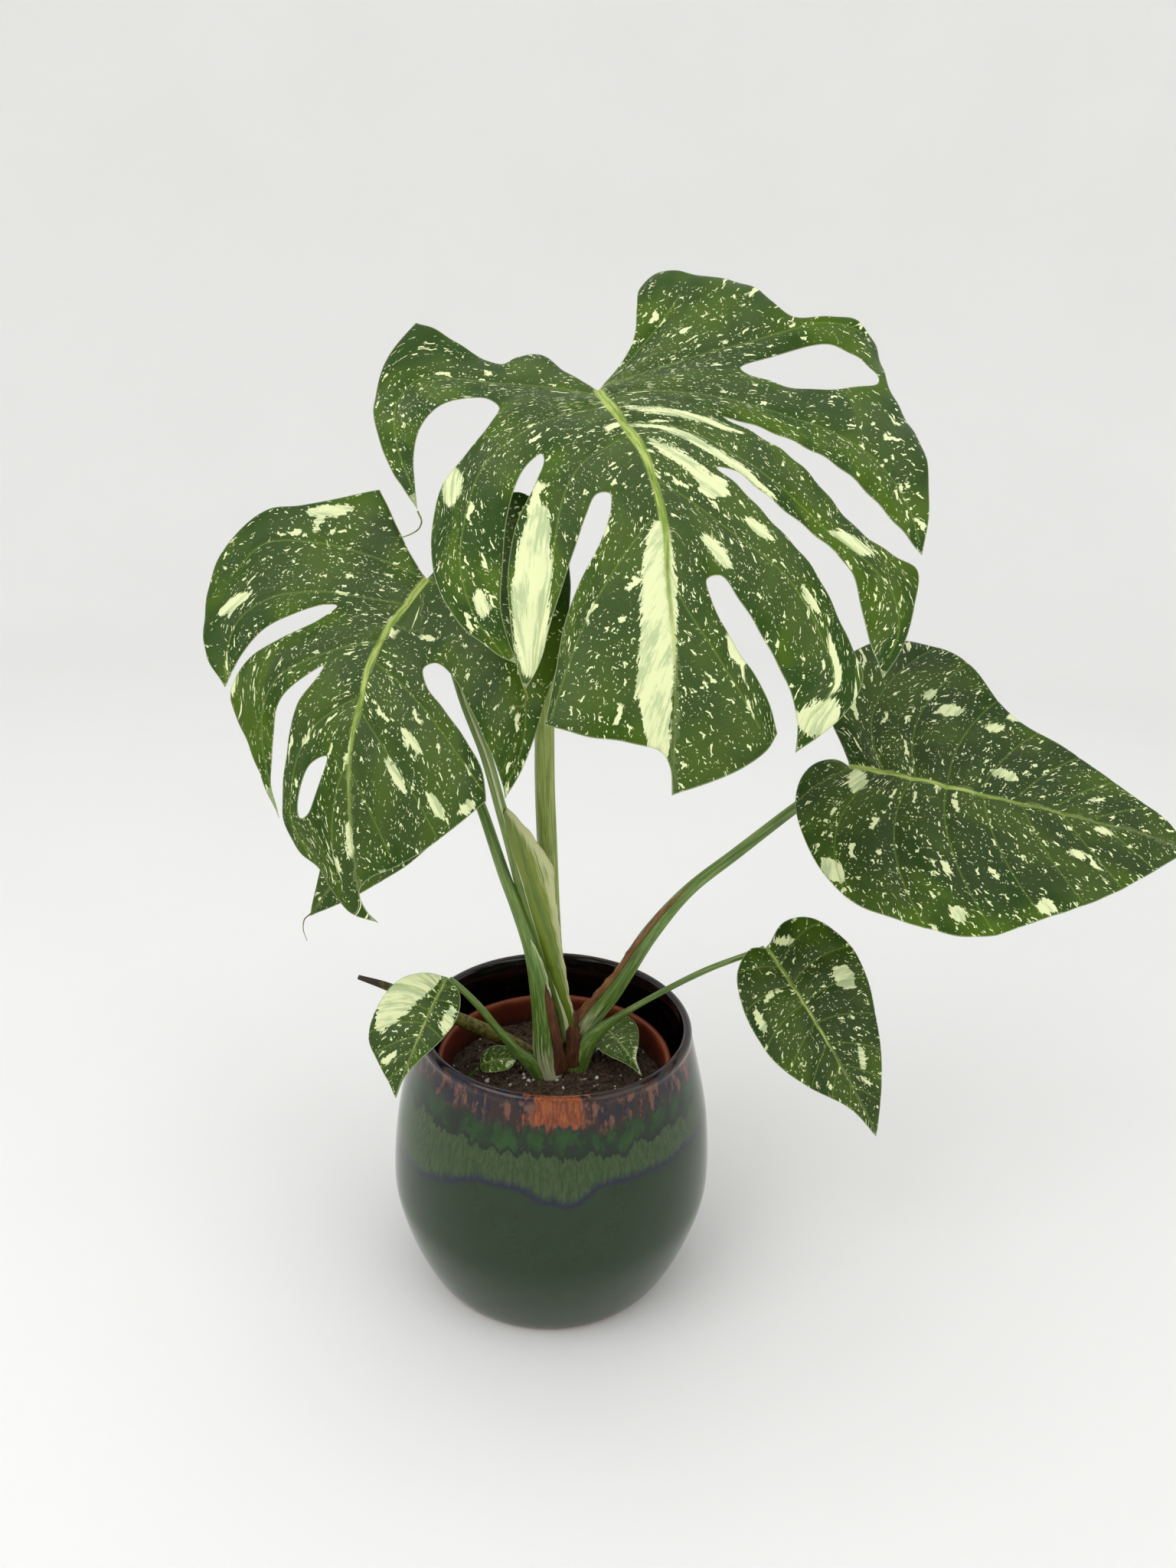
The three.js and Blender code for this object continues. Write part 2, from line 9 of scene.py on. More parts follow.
import bmesh
import bpy
import numpy as np
from mathutils import Matrix, Vector, geometry, noise


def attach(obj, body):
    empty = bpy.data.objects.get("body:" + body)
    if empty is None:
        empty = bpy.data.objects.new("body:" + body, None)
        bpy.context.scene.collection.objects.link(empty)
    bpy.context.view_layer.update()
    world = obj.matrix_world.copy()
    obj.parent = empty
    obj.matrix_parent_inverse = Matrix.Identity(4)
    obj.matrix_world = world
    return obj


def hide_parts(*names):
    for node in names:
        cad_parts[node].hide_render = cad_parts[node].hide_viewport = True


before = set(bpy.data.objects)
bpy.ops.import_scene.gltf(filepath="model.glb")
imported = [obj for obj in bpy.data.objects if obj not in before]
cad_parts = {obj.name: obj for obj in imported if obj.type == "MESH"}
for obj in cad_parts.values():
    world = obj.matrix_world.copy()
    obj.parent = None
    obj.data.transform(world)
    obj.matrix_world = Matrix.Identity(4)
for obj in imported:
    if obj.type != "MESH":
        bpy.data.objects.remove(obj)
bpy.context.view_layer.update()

log = logging.getLogger("monstera")
MM = 0.001
BODY = "root"
FLECK_BORDER = 0.05
Point = tuple[float, ...]
Colour = tuple[float, float, float]
Face = tuple[int, ...]
Piece = bpy.types.Object
Material = bpy.types.Material
Socket = bpy.types.NodeSocket
Value = Socket | float | Point


# ---- shader building


@dataclass(frozen=True)
class FleckSize:
    """One size of fleck. The radii are in cells, and a negative least radius leaves cells bare."""

    stretch: float
    density: float
    least: float
    most: float


NO_BLOTCHES = FleckSize(0.24, 0.05, -0.70, 0.0)
FEW_BLOTCHES = FleckSize(0.24, 0.05, -0.70, 0.10)


class Shader:
    """One material's node tree, built by short calls that take numbers or sockets."""

    def __init__(self, name: str) -> None:
        """Starts an empty material.

        Args:
            name: The material's name.
        """
        self.material = bpy.data.materials.new(name)
        self.material.use_nodes = True
        self.tree = self.material.node_tree
        self.tree.nodes.clear()

    def node(
        self, kind: str, inputs: dict[str | int, Value] | None = None, **settings: object
    ) -> bpy.types.Node:
        """Adds a node.

        Args:
            kind: Node type without its "ShaderNode" prefix.
            inputs: Input name or index to a number, colour or socket.
            settings: Node properties.

        Returns:
            The node.
        """
        made = self.tree.nodes.new("ShaderNode" + kind)
        for key, value in settings.items():
            setattr(made, key, value)
        for key, value in (inputs or {}).items():
            self.plug(made.inputs[key], value)
        return made

    def plug(self, socket: Socket, value: Value) -> None:
        """Links or sets one input.

        Args:
            socket: The input.
            value: A socket to link, or a number, vector or colour to set.
        """
        if isinstance(value, Socket):
            self.tree.links.new(value, socket)
        elif isinstance(value, tuple) and len(value) == 3 and socket.type == "RGBA":
            socket.default_value = (*value, 1.0)
        else:
            socket.default_value = value

    def math(self, operation: str, a: Value, b: Value = 0.0) -> Socket:
        """Returns the result of one math operation on a and b."""
        return self.node("Math", {0: a, 1: b}, operation=operation).outputs[0]

    def plus(self, a: Value, b: Value) -> Socket:
        """Returns a + b."""
        return self.math("ADD", a, b)

    def minus(self, a: Value, b: Value) -> Socket:
        """Returns a - b."""
        return self.math("SUBTRACT", a, b)

    def times(self, a: Value, b: Value) -> Socket:
        """Returns a * b."""
        return self.math("MULTIPLY", a, b)

    def larger(self, a: Value, b: Value) -> Socket:
        """Returns the larger of a and b."""
        return self.math("MAXIMUM", a, b)

    def step(self, value: Value, low: float, high: float) -> Socket:
        """Maps a value smoothly from 0 to 1.

        Args:
            value: What is mapped.
            low: Where it gives 0, which may be above high.
            high: Where it gives 1.

        Returns:
            The mapped value.
        """
        flipped = low > high
        made = self.node(
            "MapRange",
            {0: value, 1: min(low, high), 2: max(low, high), 3: float(flipped), 4: float(not flipped)},
            interpolation_type="SMOOTHSTEP",
        )
        return made.outputs[0]

    def mix(self, amount: Value, a: Value, b: Value) -> Socket:
        """Returns colour a turned into colour b by amount."""
        return self.node("Mix", {0: amount, 6: a, 7: b}, data_type="RGBA").outputs[2]

    def attribute(self, name: str, vector: bool = False) -> Socket:
        """Returns a mesh attribute, as a number or a vector."""
        made = self.node("Attribute", attribute_name=name)
        return made.outputs["Vector" if vector else "Fac"]

    def place(self) -> Socket:
        """Returns the surface's place in the frame, in metres."""
        return self.node("TexCoord").outputs["Object"]

    def parts(self, vector: Socket) -> tuple[Socket, ...]:
        """Returns the x, y and z of a vector."""
        return tuple(self.node("SeparateXYZ", {0: vector}).outputs)

    def scaled(self, vector: Socket, scale: Point, shift: Point = (0.0, 0.0, 0.0)) -> Socket:
        """Returns a vector scaled and shifted along each axis."""
        return self.node("Mapping", {0: vector, 1: shift, 3: scale}).outputs[0]

    def noise(self, vector: Socket, scale: float, detail: float = 3.0, rough: float = 0.5) -> Socket:
        """Returns noise from 0 to 1."""
        inputs = {"Vector": vector, "Scale": scale, "Detail": detail, "Roughness": rough}
        return self.node("TexNoise", inputs).outputs["Fac"]

    def flecks(self, flow: Socket, size: FleckSize, rarity: Value) -> Socket:
        """Scattered flecks, one in each cell of a random pattern.

        Args:
            flow: Coordinates along and across the flecks.
            size: How large and how drawn out they are.
            rarity: Power that makes large flecks rare.

        Returns:
            A mask that is 1 on flecks.
        """
        cells = self.node(
            "TexVoronoi",
            {"Vector": self.scaled(flow, (size.stretch, 1.0, 1.0)), "Scale": size.density, "Randomness": 1.0},
            voronoi_dimensions="2D",
            distance="CHEBYCHEV",
        )
        chance = self.node("SeparateColor", {0: cells.outputs["Color"]}).outputs[0]
        share = self.math("POWER", chance, rarity)
        radius = self.plus(self.times(share, size.most - size.least), size.least)
        return self.step(self.minus(radius, cells.outputs["Distance"]), 0.0, FLECK_BORDER)

    def bump(self, height: Value, strength: float, distance: float) -> Socket:
        """Returns a normal bent by a height."""
        return self.node("Bump", {"Height": height, "Strength": strength, "Distance": distance}).outputs[0]

    def surface(
        self, colour: Value, roughness: Value, normal: Socket | None = None, **constants: float
    ) -> Material:
        """Ends the tree with the surface itself.

        Args:
            colour: Base colour.
            roughness: Roughness.
            normal: Bent normal, if any.
            constants: Other inputs of the surface, with _ for a space, set on its own sockets.

        Returns:
            The finished material.
        """
        inputs = {"Base Color": colour, "Roughness": roughness}
        if normal is not None:
            inputs["Normal"] = normal
        inputs.update({key.replace("_", " "): value for key, value in constants.items()})
        body = self.node("BsdfPrincipled", inputs)
        self.node("OutputMaterial", {0: body.outputs[0]})
        return self.material


# ---- finishes


class Finish(Protocol):
    """A finish that dresses a whole piece with one material."""

    def material(self, name: str) -> Material:
        """Returns the material under the name given."""


@dataclass(frozen=True)
class LeafFinish:
    """Leathery variegated blade. Attributes on the mesh, in millimetres, steer it: flow (along and across
    the side veins), spine (along and off the midrib, and the share of it left), the distances rib, lateral
    and edge, and cream, the depth inside a splash."""

    deep: Colour = (0.021, 0.056, 0.003)
    bright: Colour = (0.060, 0.115, 0.004)
    # Grey-green that is partly painted sheen and partly the leaf's own fine mottle.
    sheen_and_mottle_grey: Colour = (0.058, 0.092, 0.025)
    cream: Colour = (0.74, 0.79, 0.44)
    cream_shade: Colour = (0.46, 0.55, 0.29)
    rib: Colour = (0.18, 0.28, 0.035)
    rib_light: Colour = (0.44, 0.53, 0.14)
    underside: Colour = (0.085, 0.155, 0.045)
    # How strongly the grey-green of painted sheen and fine mottle is laid on.
    sheen_and_mottle_amount: float = 0.8
    dots: FleckSize = FleckSize(0.55, 0.66, -0.34, 0.26)
    fine: FleckSize = FleckSize(0.36, 0.33, -0.38, 0.27)
    medium: FleckSize = FleckSize(0.30, 0.13, -0.60, 0.27)
    large: FleckSize = FleckSize(0.24, 0.05, -0.70, 0.22)
    gloss: float = 0.15

    WOBBLES = ((0.13, 9.0), (0.55, 2.8))
    STREAK_REACH = 8.0
    CRUMB_REACH = 6.0

    def green(self, shader: Shader, flow: Socket) -> Socket:
        """The ground green with its broad and fine changes of tone, and a grey-green that is partly painted
        sheen and partly the leaf's own fine mottle.

        Args:
            shader: The tree.
            flow: Coordinates along and across the side veins.

        Returns:
            The colour.
        """
        broad = shader.step(shader.noise(flow, 0.022, 2.0), 0.40, 0.64)
        ground = shader.mix(broad, self.deep, self.bright)
        zone = shader.noise(shader.scaled(flow, (0.4, 1.0, 1.0), (90.0, 0.0, 0.0)), 0.028, 2.0)
        grain = shader.noise(shader.scaled(flow, (0.45, 1.0, 1.0)), 1.6, 3.0, 0.7)
        # The grey-green, partly painted sheen and partly fine mottle, grows away from the margin and near the
        # midrib.
        inward = shader.times(shader.step(shader.attribute("edge"), 1.0, 22.0), 0.14)
        inner = shader.times(shader.step(shader.attribute("rib"), 95.0, 25.0), 0.16)
        sheen_and_mottle = shader.step(shader.plus(zone, shader.plus(inward, inner)), 0.54, 0.74)
        sheen_and_mottle = shader.times(sheen_and_mottle, shader.step(grain, 0.30, 0.64))
        return shader.mix(shader.times(sheen_and_mottle, self.sheen_and_mottle_amount), ground, self.sheen_and_mottle_grey)

    def speckles(self, shader: Shader, flow: Socket) -> Socket:
        """The cream flecks, drawn out along the side veins.

        Args:
            shader: The tree.
            flow: Coordinates along and across the side veins.

        Returns:
            A mask that is 1 on flecks.
        """
        bent = flow
        for scale, reach in self.WOBBLES:
            wobble = shader.node("TexNoise", {"Vector": flow, "Scale": scale, "Detail": 2.0}).outputs["Color"]
            shift = shader.node("VectorMath", {0: wobble, 3: reach}, operation="SCALE").outputs[0]
            bent = shader.node("VectorMath", {0: bent, 1: shift}, operation="ADD").outputs[0]
        crowd = shader.plus(shader.times(shader.noise(flow, 0.035, 2.0), 0.5), 0.85)
        marks = shader.larger(shader.flecks(bent, self.dots, 1.0), shader.flecks(bent, self.fine, crowd))
        marks = shader.larger(marks, shader.flecks(bent, self.medium, 1.7))
        return shader.larger(marks, shader.flecks(bent, self.large, 2.2))

    def splash(self, shader: Shader, flow: Socket) -> Socket:
        """The large cream areas, ragged along the veins.

        Args:
            shader: The tree.
            flow: Coordinates along and across the side veins.

        Returns:
            A mask that is 1 on the cream.
        """
        streaks = shader.noise(shader.scaled(flow, (0.07, 1.0, 1.0)), 0.42, 3.0, 0.6)
        crumbs = shader.noise(shader.scaled(flow, (0.4, 1.0, 1.0)), 0.8, 3.0, 0.65)
        reach = shader.plus(shader.attribute("cream"), shader.times(streaks, self.STREAK_REACH))
        reach = shader.plus(reach, shader.times(crumbs, self.CRUMB_REACH))
        return shader.step(reach, 6.8, 7.15)

    def upper(self, name: str) -> Material:
        """Makes the upper face's material.

        Args:
            name: The material's name.

        Returns:
            The material.
        """
        shader = Shader(name)
        flow = shader.attribute("flow", vector=True)
        ground = self.green(shader, flow)
        mottle = shader.noise(shader.scaled(flow, (0.16, 1.0, 1.0), (40.0, 0.0, 0.0)), 0.16, 5.0, 0.68)
        cream = shader.mix(shader.step(mottle, 0.46, 0.60), self.cream, self.cream_shade)
        marked = shader.mix(self.speckles(shader, flow), ground, self.cream)
        marked = shader.mix(self.splash(shader, flow), marked, cream)
        lateral = shader.times(shader.step(shader.attribute("lateral"), 1.0, 0.0), 0.42)
        marked = shader.mix(lateral, marked, self.rib)
        spine = shader.scaled(shader.attribute("spine", vector=True), (0.05, 1.0, 1.0))
        threads = shader.noise(spine, 0.9, 3.0, 0.7)
        pale_rib = shader.mix(shader.step(threads, 0.40, 0.62), self.rib, self.rib_light)
        border = shader.plus(shader.attribute("rib"), shader.times(threads, -1.2))
        fade = shader.parts(shader.attribute("spine", vector=True))[2]
        shown = shader.times(shader.step(border, 0.35, -1.5), shader.step(fade, -0.15, 0.60))
        marked = shader.mix(shown, marked, pale_rib)
        rim = shader.step(shader.attribute("edge"), 0.7, 0.1)
        marked = shader.mix(shader.times(rim, 0.55), marked, self.cream_shade)
        grain = shader.noise(flow, 0.9, 3.0, 0.6)
        normal = shader.bump(grain, 0.22, 0.0004)
        roughness = shader.plus(shader.times(grain, 0.18), 0.30)
        return shader.surface(marked, roughness, normal, Specular_IOR_Level=self.gloss)

    def under(self, name: str) -> Material:
        """Makes the paler underside's material.

        Args:
            name: The material's name.

        Returns:
            The material.
        """
        shader = Shader(name)
        flow = shader.attribute("flow", vector=True)
        tone = shader.noise(flow, 0.05, 4.0, 0.6)
        # The grey-green mixed in here is partly painted sheen and partly the leaf's own mottle.
        ground = shader.mix(shader.step(tone, 0.3, 0.7), self.underside, self.sheen_and_mottle_grey)
        marks = shader.larger(self.speckles(shader, flow), self.splash(shader, flow))
        marked = shader.mix(shader.times(marks, 0.7), ground, self.cream_shade)
        marked = shader.mix(shader.step(shader.attribute("lateral"), 1.2, 0.3), marked, self.rib)
        marked = shader.mix(shader.step(shader.attribute("rib"), 1.0, -0.3), marked, self.rib)
        normal = shader.bump(shader.noise(flow, 0.7, 3.0), 0.3, 0.0005)
        return shader.surface(marked, shader.plus(shader.times(tone, 0.2), 0.45), normal)


@dataclass(frozen=True)
class StalkFinish:
    """Striped stalk skin. The round attribute wraps it: millimetres round the stalk and up it."""

    ground: Colour = (0.060, 0.140, 0.014)
    light: Colour = (0.120, 0.220, 0.030)
    stripe: Colour = (0.36, 0.46, 0.14)
    stripes: float = 0.45
    blush: Colour = (0.035, 0.080, 0.008)
    cream: Colour = (0.60, 0.63, 0.36)

    def material(self, name: str) -> Material:
        """Makes the stalk's material.

        Args:
            name: The material's name.

        Returns:
            The material.
        """
        shader = Shader(name)
        wrap = shader.attribute("round", vector=True)
        long = shader.scaled(wrap, (1.0, 1.0, 0.035))
        fine = shader.noise(long, 0.9, 4.0, 0.65)
        broad = shader.noise(shader.scaled(long, (1.0, 1.0, 1.0), (17.0, 5.0, 3.0)), 0.22, 3.0)
        colour = shader.mix(shader.step(broad, 0.35, 0.65), self.ground, self.light)
        colour = shader.mix(shader.times(shader.step(fine, 0.44, 0.62), self.stripes), colour, self.stripe)
        low = shader.noise(shader.scaled(wrap, (0.25, 0.25, 0.05)), 1.0, 3.0)
        colour = shader.mix(shader.times(shader.step(low, 0.5, 0.75), 0.5), colour, self.blush)
        streaked = shader.plus(shader.attribute("pale"), shader.times(fine, 1.3))
        colour = shader.mix(shader.step(streaked, 0.95, 1.35), colour, self.cream)
        normal = shader.bump(fine, 0.35, 0.0005)
        roughness = shader.plus(shader.times(broad, 0.2), 0.32)
        return shader.surface(colour, roughness, normal)


@dataclass(frozen=True)
class PaperyFinish:
    """Dried sheath: thin, brown, fibrous."""

    dark: Colour = (0.040, 0.010, 0.004)
    light: Colour = (0.200, 0.072, 0.020)
    shadowing: float = 0.6

    def material(self, name: str) -> Material:
        """Makes the dried sheath's material.

        Args:
            name: The material's name.

        Returns:
            The material.
        """
        shader = Shader(name)
        wrap = shader.attribute("round", vector=True)
        fibres = shader.noise(shader.scaled(wrap, (1.0, 1.0, 0.06)), 1.1, 5.0, 0.7)
        patches = shader.noise(wrap, 0.12, 3.0)
        colour = shader.mix(shader.step(fibres, 0.35, 0.68), self.dark, self.light)
        colour = shader.mix(shader.times(shader.step(patches, 0.45, 0.7), self.shadowing), colour, self.dark)
        normal = shader.bump(fibres, 0.7, 0.0008)
        return shader.surface(colour, shader.plus(shader.times(fibres, 0.3), 0.5), normal)


@dataclass(frozen=True)
class WitheredFinish:
    """Old stalk: mottled yellow-green that dries to dark brown at both ends."""

    fresh: Colour = (0.17, 0.17, 0.018)
    mottle: Colour = (0.080, 0.050, 0.009)
    dry: Colour = (0.030, 0.018, 0.010)

    def material(self, name: str) -> Material:
        """Makes the withered stalk's material.

        Args:
            name: The material's name.

        Returns:
            The material.
        """
        shader = Shader(name)
        wrap = shader.attribute("round", vector=True)
        blotches = shader.noise(wrap, 0.35, 4.0, 0.6)
        colour = shader.mix(shader.step(blotches, 0.45, 0.62), self.fresh, self.mottle)
        reach = shader.plus(shader.attribute("pale"), shader.times(blotches, 0.5))
        colour = shader.mix(shader.step(reach, 0.55, 0.8), colour, self.dry)
        wrinkles = shader.noise(shader.scaled(wrap, (1.0, 1.0, 0.2)), 1.2, 4.0, 0.6)
        normal = shader.bump(wrinkles, 0.6, 0.0008)
        return shader.surface(colour, shader.plus(shader.times(blotches, 0.3), 0.42), normal)


@dataclass(frozen=True)
class GlazeFinish:
    """Reactive glaze in bands: brown rim, running green, a striped green belt, a navy line, deep green."""

    bare_clay: Colour = (0.20, 0.075, 0.035)
    body_green: Colour = (0.006, 0.020, 0.004)
    bright_green: Colour = (0.009, 0.050, 0.003)
    edge_green: Colour = (0.002, 0.010, 0.002)
    belt_green: Colour = (0.014, 0.042, 0.007)
    belt_grey: Colour = (0.040, 0.070, 0.019)
    navy: Colour = (0.006, 0.009, 0.026)
    rim_brown: Colour = (0.022, 0.009, 0.006)
    copper: Colour = (0.29, 0.075, 0.013)
    burnt_copper: Colour = (0.13, 0.026, 0.007)
    inside_black: Colour = (0.004, 0.003, 0.003)
    clay_pink: Colour = (0.25, 0.10, 0.055)
    rim_navy: Colour = (0.006, 0.006, 0.014)
    navy_line: float = 139.0
    drip_line: float = 160.5
    brown_line: float = 178.0
    copper_line: float = 181.0
    copper_half_width: float = 18.0
    swag_drop: float = 9.0
    left_drop: float = 25.0
    line_wander: float = 10.0
    drip_reach: float = 30.0
    fray: float = 45.0
    gloss: float = 0.40

    def material(self, name: str) -> Material:
        """Makes the glazed pot's material.

        Args:
            name: The material's name.

        Returns:
            The material.
        """
        shader = Shader(name)
        place = shader.scaled(shader.place(), (1000.0, 1000.0, 1000.0))
        cloud = shader.noise(place, 0.07, 5.0, 0.6)
        threads = shader.noise(shader.scaled(place, (1.0, 1.0, 0.045)), 0.55, 4.0, 0.75)
        colour = shader.mix(shader.times(cloud, 0.6), self.body_green, self.belt_green)
        colour = self.belt(shader, colour, place, threads)
        colour = self.rim(shader, colour, place, threads)
        inner = shader.mix(shader.step(cloud, 0.5, 0.7), self.inside_black, self.rim_brown)
        colour = shader.mix(shader.attribute("inside"), colour, inner)
        colour = shader.mix(shader.step(shader.parts(place)[2], 3.5, 1.5), colour, self.bare_clay)
        normal = shader.bump(shader.plus(cloud, shader.times(threads, 0.3)), 0.10, 0.0006)
        roughness = shader.plus(shader.times(cloud, 0.10), 0.04)
        return shader.surface(colour, roughness, normal, Specular_IOR_Level=self.gloss)

    def belt(self, shader: Shader, below: Socket, place: Socket, threads: Socket) -> Socket:
        """The wavy navy line and the striped belt over it.

        Args:
            shader: The tree.
            below: Colour of the pot's body.
            place: Position in millimetres.
            threads: Fine upright streaks.

        Returns:
            The colour with the line and the belt.
        """
        x, _, height = shader.parts(place)
        aside = shader.math("ABSOLUTE", shader.minus(x, 6.0))
        slow = shader.noise(shader.scaled(place, (1.0, 1.0, 0.0)), 0.035, 2.0)
        wavy = shader.plus(height, shader.times(shader.step(aside, 30.0, 9.0), self.swag_drop))
        wavy = shader.plus(wavy, shader.times(shader.step(x, -35.0, -115.0), self.left_drop))
        wavy = shader.plus(wavy, shader.times(shader.minus(slow, 0.5), self.line_wander))
        line = self.navy_line
        frayed = shader.plus(wavy, shader.times(threads, 9.0))
        belt = shader.mix(shader.step(threads, 0.36, 0.66), self.belt_green, self.belt_grey)
        colour = shader.mix(shader.step(wavy, line - 4.5, line - 1.0), below, self.navy)
        return shader.mix(shader.step(frayed, line + 3.0, line + 10.0), colour, belt)

    def rim(self, shader: Shader, below: Socket, place: Socket, threads: Socket) -> Socket:
        """The running green with its dark outline, the brown rim and the copper patch.

        Args:
            shader: The tree.
            below: Colour of the belt.
            place: Position in millimetres.
            threads: Fine upright streaks.

        Returns:
            The colour with the rim's glazes.
        """
        x, y, height = shader.parts(place)
        drips = shader.minus(shader.noise(shader.scaled(place, (1.0, 1.0, 0.0)), 0.10, 3.0, 0.7), 0.5)
        blots = shader.noise(shader.scaled(place, (1.0, 1.0, 0.55)), 0.085, 4.0, 0.6)
        ragged = shader.plus(height, shader.times(drips, -self.drip_reach))
        line = self.drip_line
        green = shader.mix(shader.step(blots, 0.36, 0.64), self.edge_green, self.bright_green)
        colour = shader.mix(shader.step(ragged, line - 1.0, line), below, green)
        above = shader.step(ragged, line - 2.0, line - 0.6)
        outline = shader.times(above, shader.step(ragged, line + 4.0, line))
        colour = shader.mix(outline, colour, self.edge_green)
        frayed = shader.plus(ragged, shader.times(shader.minus(threads, 0.5), 8.0))
        brown = shader.mix(shader.step(blots, 0.46, 0.56), self.rim_brown, self.rim_navy)
        colour = shader.mix(shader.step(frayed, self.brown_line - 4.0, self.brown_line + 3.0), colour, brown)
        flecks = shader.noise(shader.scaled(place, (1.0, 1.0, 0.35), (9.0, 0.0, 0.0)), 0.16, 4.0, 0.65)
        pink = shader.times(shader.step(flecks, 0.49, 0.60), shader.step(frayed, 176.0, 183.0))
        pink = shader.times(pink, shader.step(height, 197.5, 193.0))
        colour = shader.mix(shader.times(pink, 0.52), colour, self.clay_pink)
        fray = shader.times(shader.minus(flecks, 0.5), self.fray)
        aside = shader.plus(shader.math("ABSOLUTE", shader.minus(x, 2.0)), fray)
        hot = shader.step(aside, self.copper_half_width + 2.0, self.copper_half_width - 2.0)
        hot = shader.times(hot, shader.step(y, -60.0, -80.0))
        hot = shader.times(hot, shader.step(frayed, self.copper_line - 2.0, self.copper_line + 1.0))
        patch = shader.mix(shader.step(threads, 0.38, 0.66), self.burnt_copper, self.copper)
        return shader.mix(hot, colour, patch)


@dataclass(frozen=True)
class PlasticFinish:
    """Thin brick-brown moulded plastic, dulled, with a painted highlight on the rim's top and darker lower
    down.
    """

    brick: Colour = (0.125, 0.016, 0.006)
    # Painted highlight: the lighter brick laid on the rim's top, where light falls.
    painted_rim_highlight: Colour = (0.26, 0.052, 0.014)
    # Darker colour laid on lower down inside the pot.
    darker_low: Colour = (0.025, 0.010, 0.006)

    def material(self, name: str) -> Material:
        """Makes the nursery pot's material.

        Args:
            name: The material's name.

        Returns:
            The material.
        """
        shader = Shader(name)
        place = shader.place()
        cloud = shader.noise(place, 40.0, 5.0, 0.6)
        height = shader.parts(place)[2]
        # Painted highlight on the rim's top, ragged by noise.
        rim_highlight_reach = shader.plus(shader.times(height, 40.0), shader.times(cloud, 0.5))
        colour = shader.mix(shader.step(rim_highlight_reach, 6.70, 6.95), self.brick, self.painted_rim_highlight)
        # Darker lower down, towards the soil.
        below_rim_depth = shader.minus(0.160, height)
        below_rim_depth = shader.plus(shader.times(below_rim_depth, 30.0), shader.noise(place, 160.0, 4.0))
        colour = shader.mix(shader.times(shader.step(below_rim_depth, 0.55, 0.9), 0.7), colour, self.darker_low)
        normal = shader.bump(shader.noise(place, 900.0, 2.0), 0.15, 0.0003)
        return shader.surface(colour, shader.plus(shader.times(cloud, 0.25), 0.35), normal)


@dataclass(frozen=True)
class SoilFinish:
    """Damp, dark, crumbly potting mix."""

    dark: Colour = (0.020, 0.012, 0.008)
    light: Colour = (0.170, 0.105, 0.060)

    def material(self, name: str) -> Material:
        """Makes the soil's material.

        Args:
            name: The material's name.

        Returns:
            The material.
        """
        shader = Shader(name)
        place = shader.place()
        crumbs = shader.noise(place, 420.0, 6.0, 0.7)
        fibres = shader.noise(shader.scaled(place, (1.0, 0.3, 1.0)), 700.0, 4.0)
        colour = shader.mix(shader.step(crumbs, 0.35, 0.7), self.dark, self.light)
        colour = shader.mix(shader.times(shader.step(fibres, 0.6, 0.72), 0.5), colour, self.light)
        return shader.surface(colour, 0.9, shader.bump(crumbs, 0.9, 0.002))


@dataclass(frozen=True)
class PerliteFinish:
    """White expanded grains, stained by the soil."""

    white: Colour = (0.80, 0.78, 0.72)
    stain: Colour = (0.38, 0.29, 0.20)

    def material(self, name: str) -> Material:
        """Makes the perlite's material.

        Args:
            name: The material's name.

        Returns:
            The material.
        """
        shader = Shader(name)
        pores = shader.noise(shader.place(), 1100.0, 4.0, 0.7)
        colour = shader.mix(shader.step(pores, 0.5, 0.75), self.white, self.stain)
        return shader.surface(colour, 0.8, shader.bump(pores, 0.8, 0.0006))


# ---- curves and meshes


def smooth_run(points: list[Point], spacing: float, closed: bool = False) -> np.ndarray:
    """A smooth curve through points: a centripetal Catmull-Rom spline.

    Args:
        points: Two or more points of any dimension.
        spacing: Target distance between the points returned.
        closed: Whether it returns to its first point.

    Returns:
        The points along it, last one included unless closed.
    """
    given = np.array(points, float)
    if closed:
        padded = np.vstack([given[-1:], given, given[:2]])
    else:
        padded = np.vstack([2 * given[:1] - given[1:2], given, 2 * given[-1:] - given[-2:-1]])
    gaps = np.sqrt(np.maximum(np.linalg.norm(np.diff(padded, axis=0), axis=1), 1e-6))
    found = []
    for k in range(1, len(padded) - 2):
        start, end = padded[k], padded[k + 1]
        before, here, after = gaps[k - 1], gaps[k], gaps[k + 1]
        last, coming = padded[k - 1], padded[k + 2]
        leave = (start - last) / before - (end - last) / (before + here) + (end - start) / here
        arrive = (end - start) / here - (coming - start) / (here + after) + (coming - end) / after
        steps = max(1, round(float(np.linalg.norm(end - start)) / spacing))
        t = (np.arange(steps) / steps)[:, None]
        found.append(
            (2 * t**3 - 3 * t**2 + 1) * start
            + (t**3 - 2 * t**2 + t) * here * leave
            + (3 * t**2 - 2 * t**3) * end
            + (t**3 - t**2) * here * arrive
        )
    if not closed:
        found.append(given[-1:])
    return np.vstack(found)


def around(sides: int) -> np.ndarray:
    """Returns even angles round a circle."""
    return 2 * math.pi * np.arange(sides) / sides


def circle(radius: float | np.ndarray, sides: int, height: float | np.ndarray) -> np.ndarray:
    """Returns a ring of vertices round the upright axis."""
    angle = around(sides)
    return np.column_stack([radius * np.cos(angle), radius * np.sin(angle), np.full(sides, height)])


def arc_lengths(line: np.ndarray) -> np.ndarray:
    """Returns how far along a line each of its points lies."""
    return np.concatenate([[0.0], np.cumsum(np.linalg.norm(np.diff(line, axis=0), axis=1))])


def looped(line: np.ndarray) -> np.ndarray:
    """Returns a loop with its first point again at its end."""
    return np.vstack([line, line[:1]])


@dataclass
class Nearness:
    """Where points lie from a line: distance, arc length of the foot point, and side."""

    distance: np.ndarray
    arc: np.ndarray
    side: np.ndarray


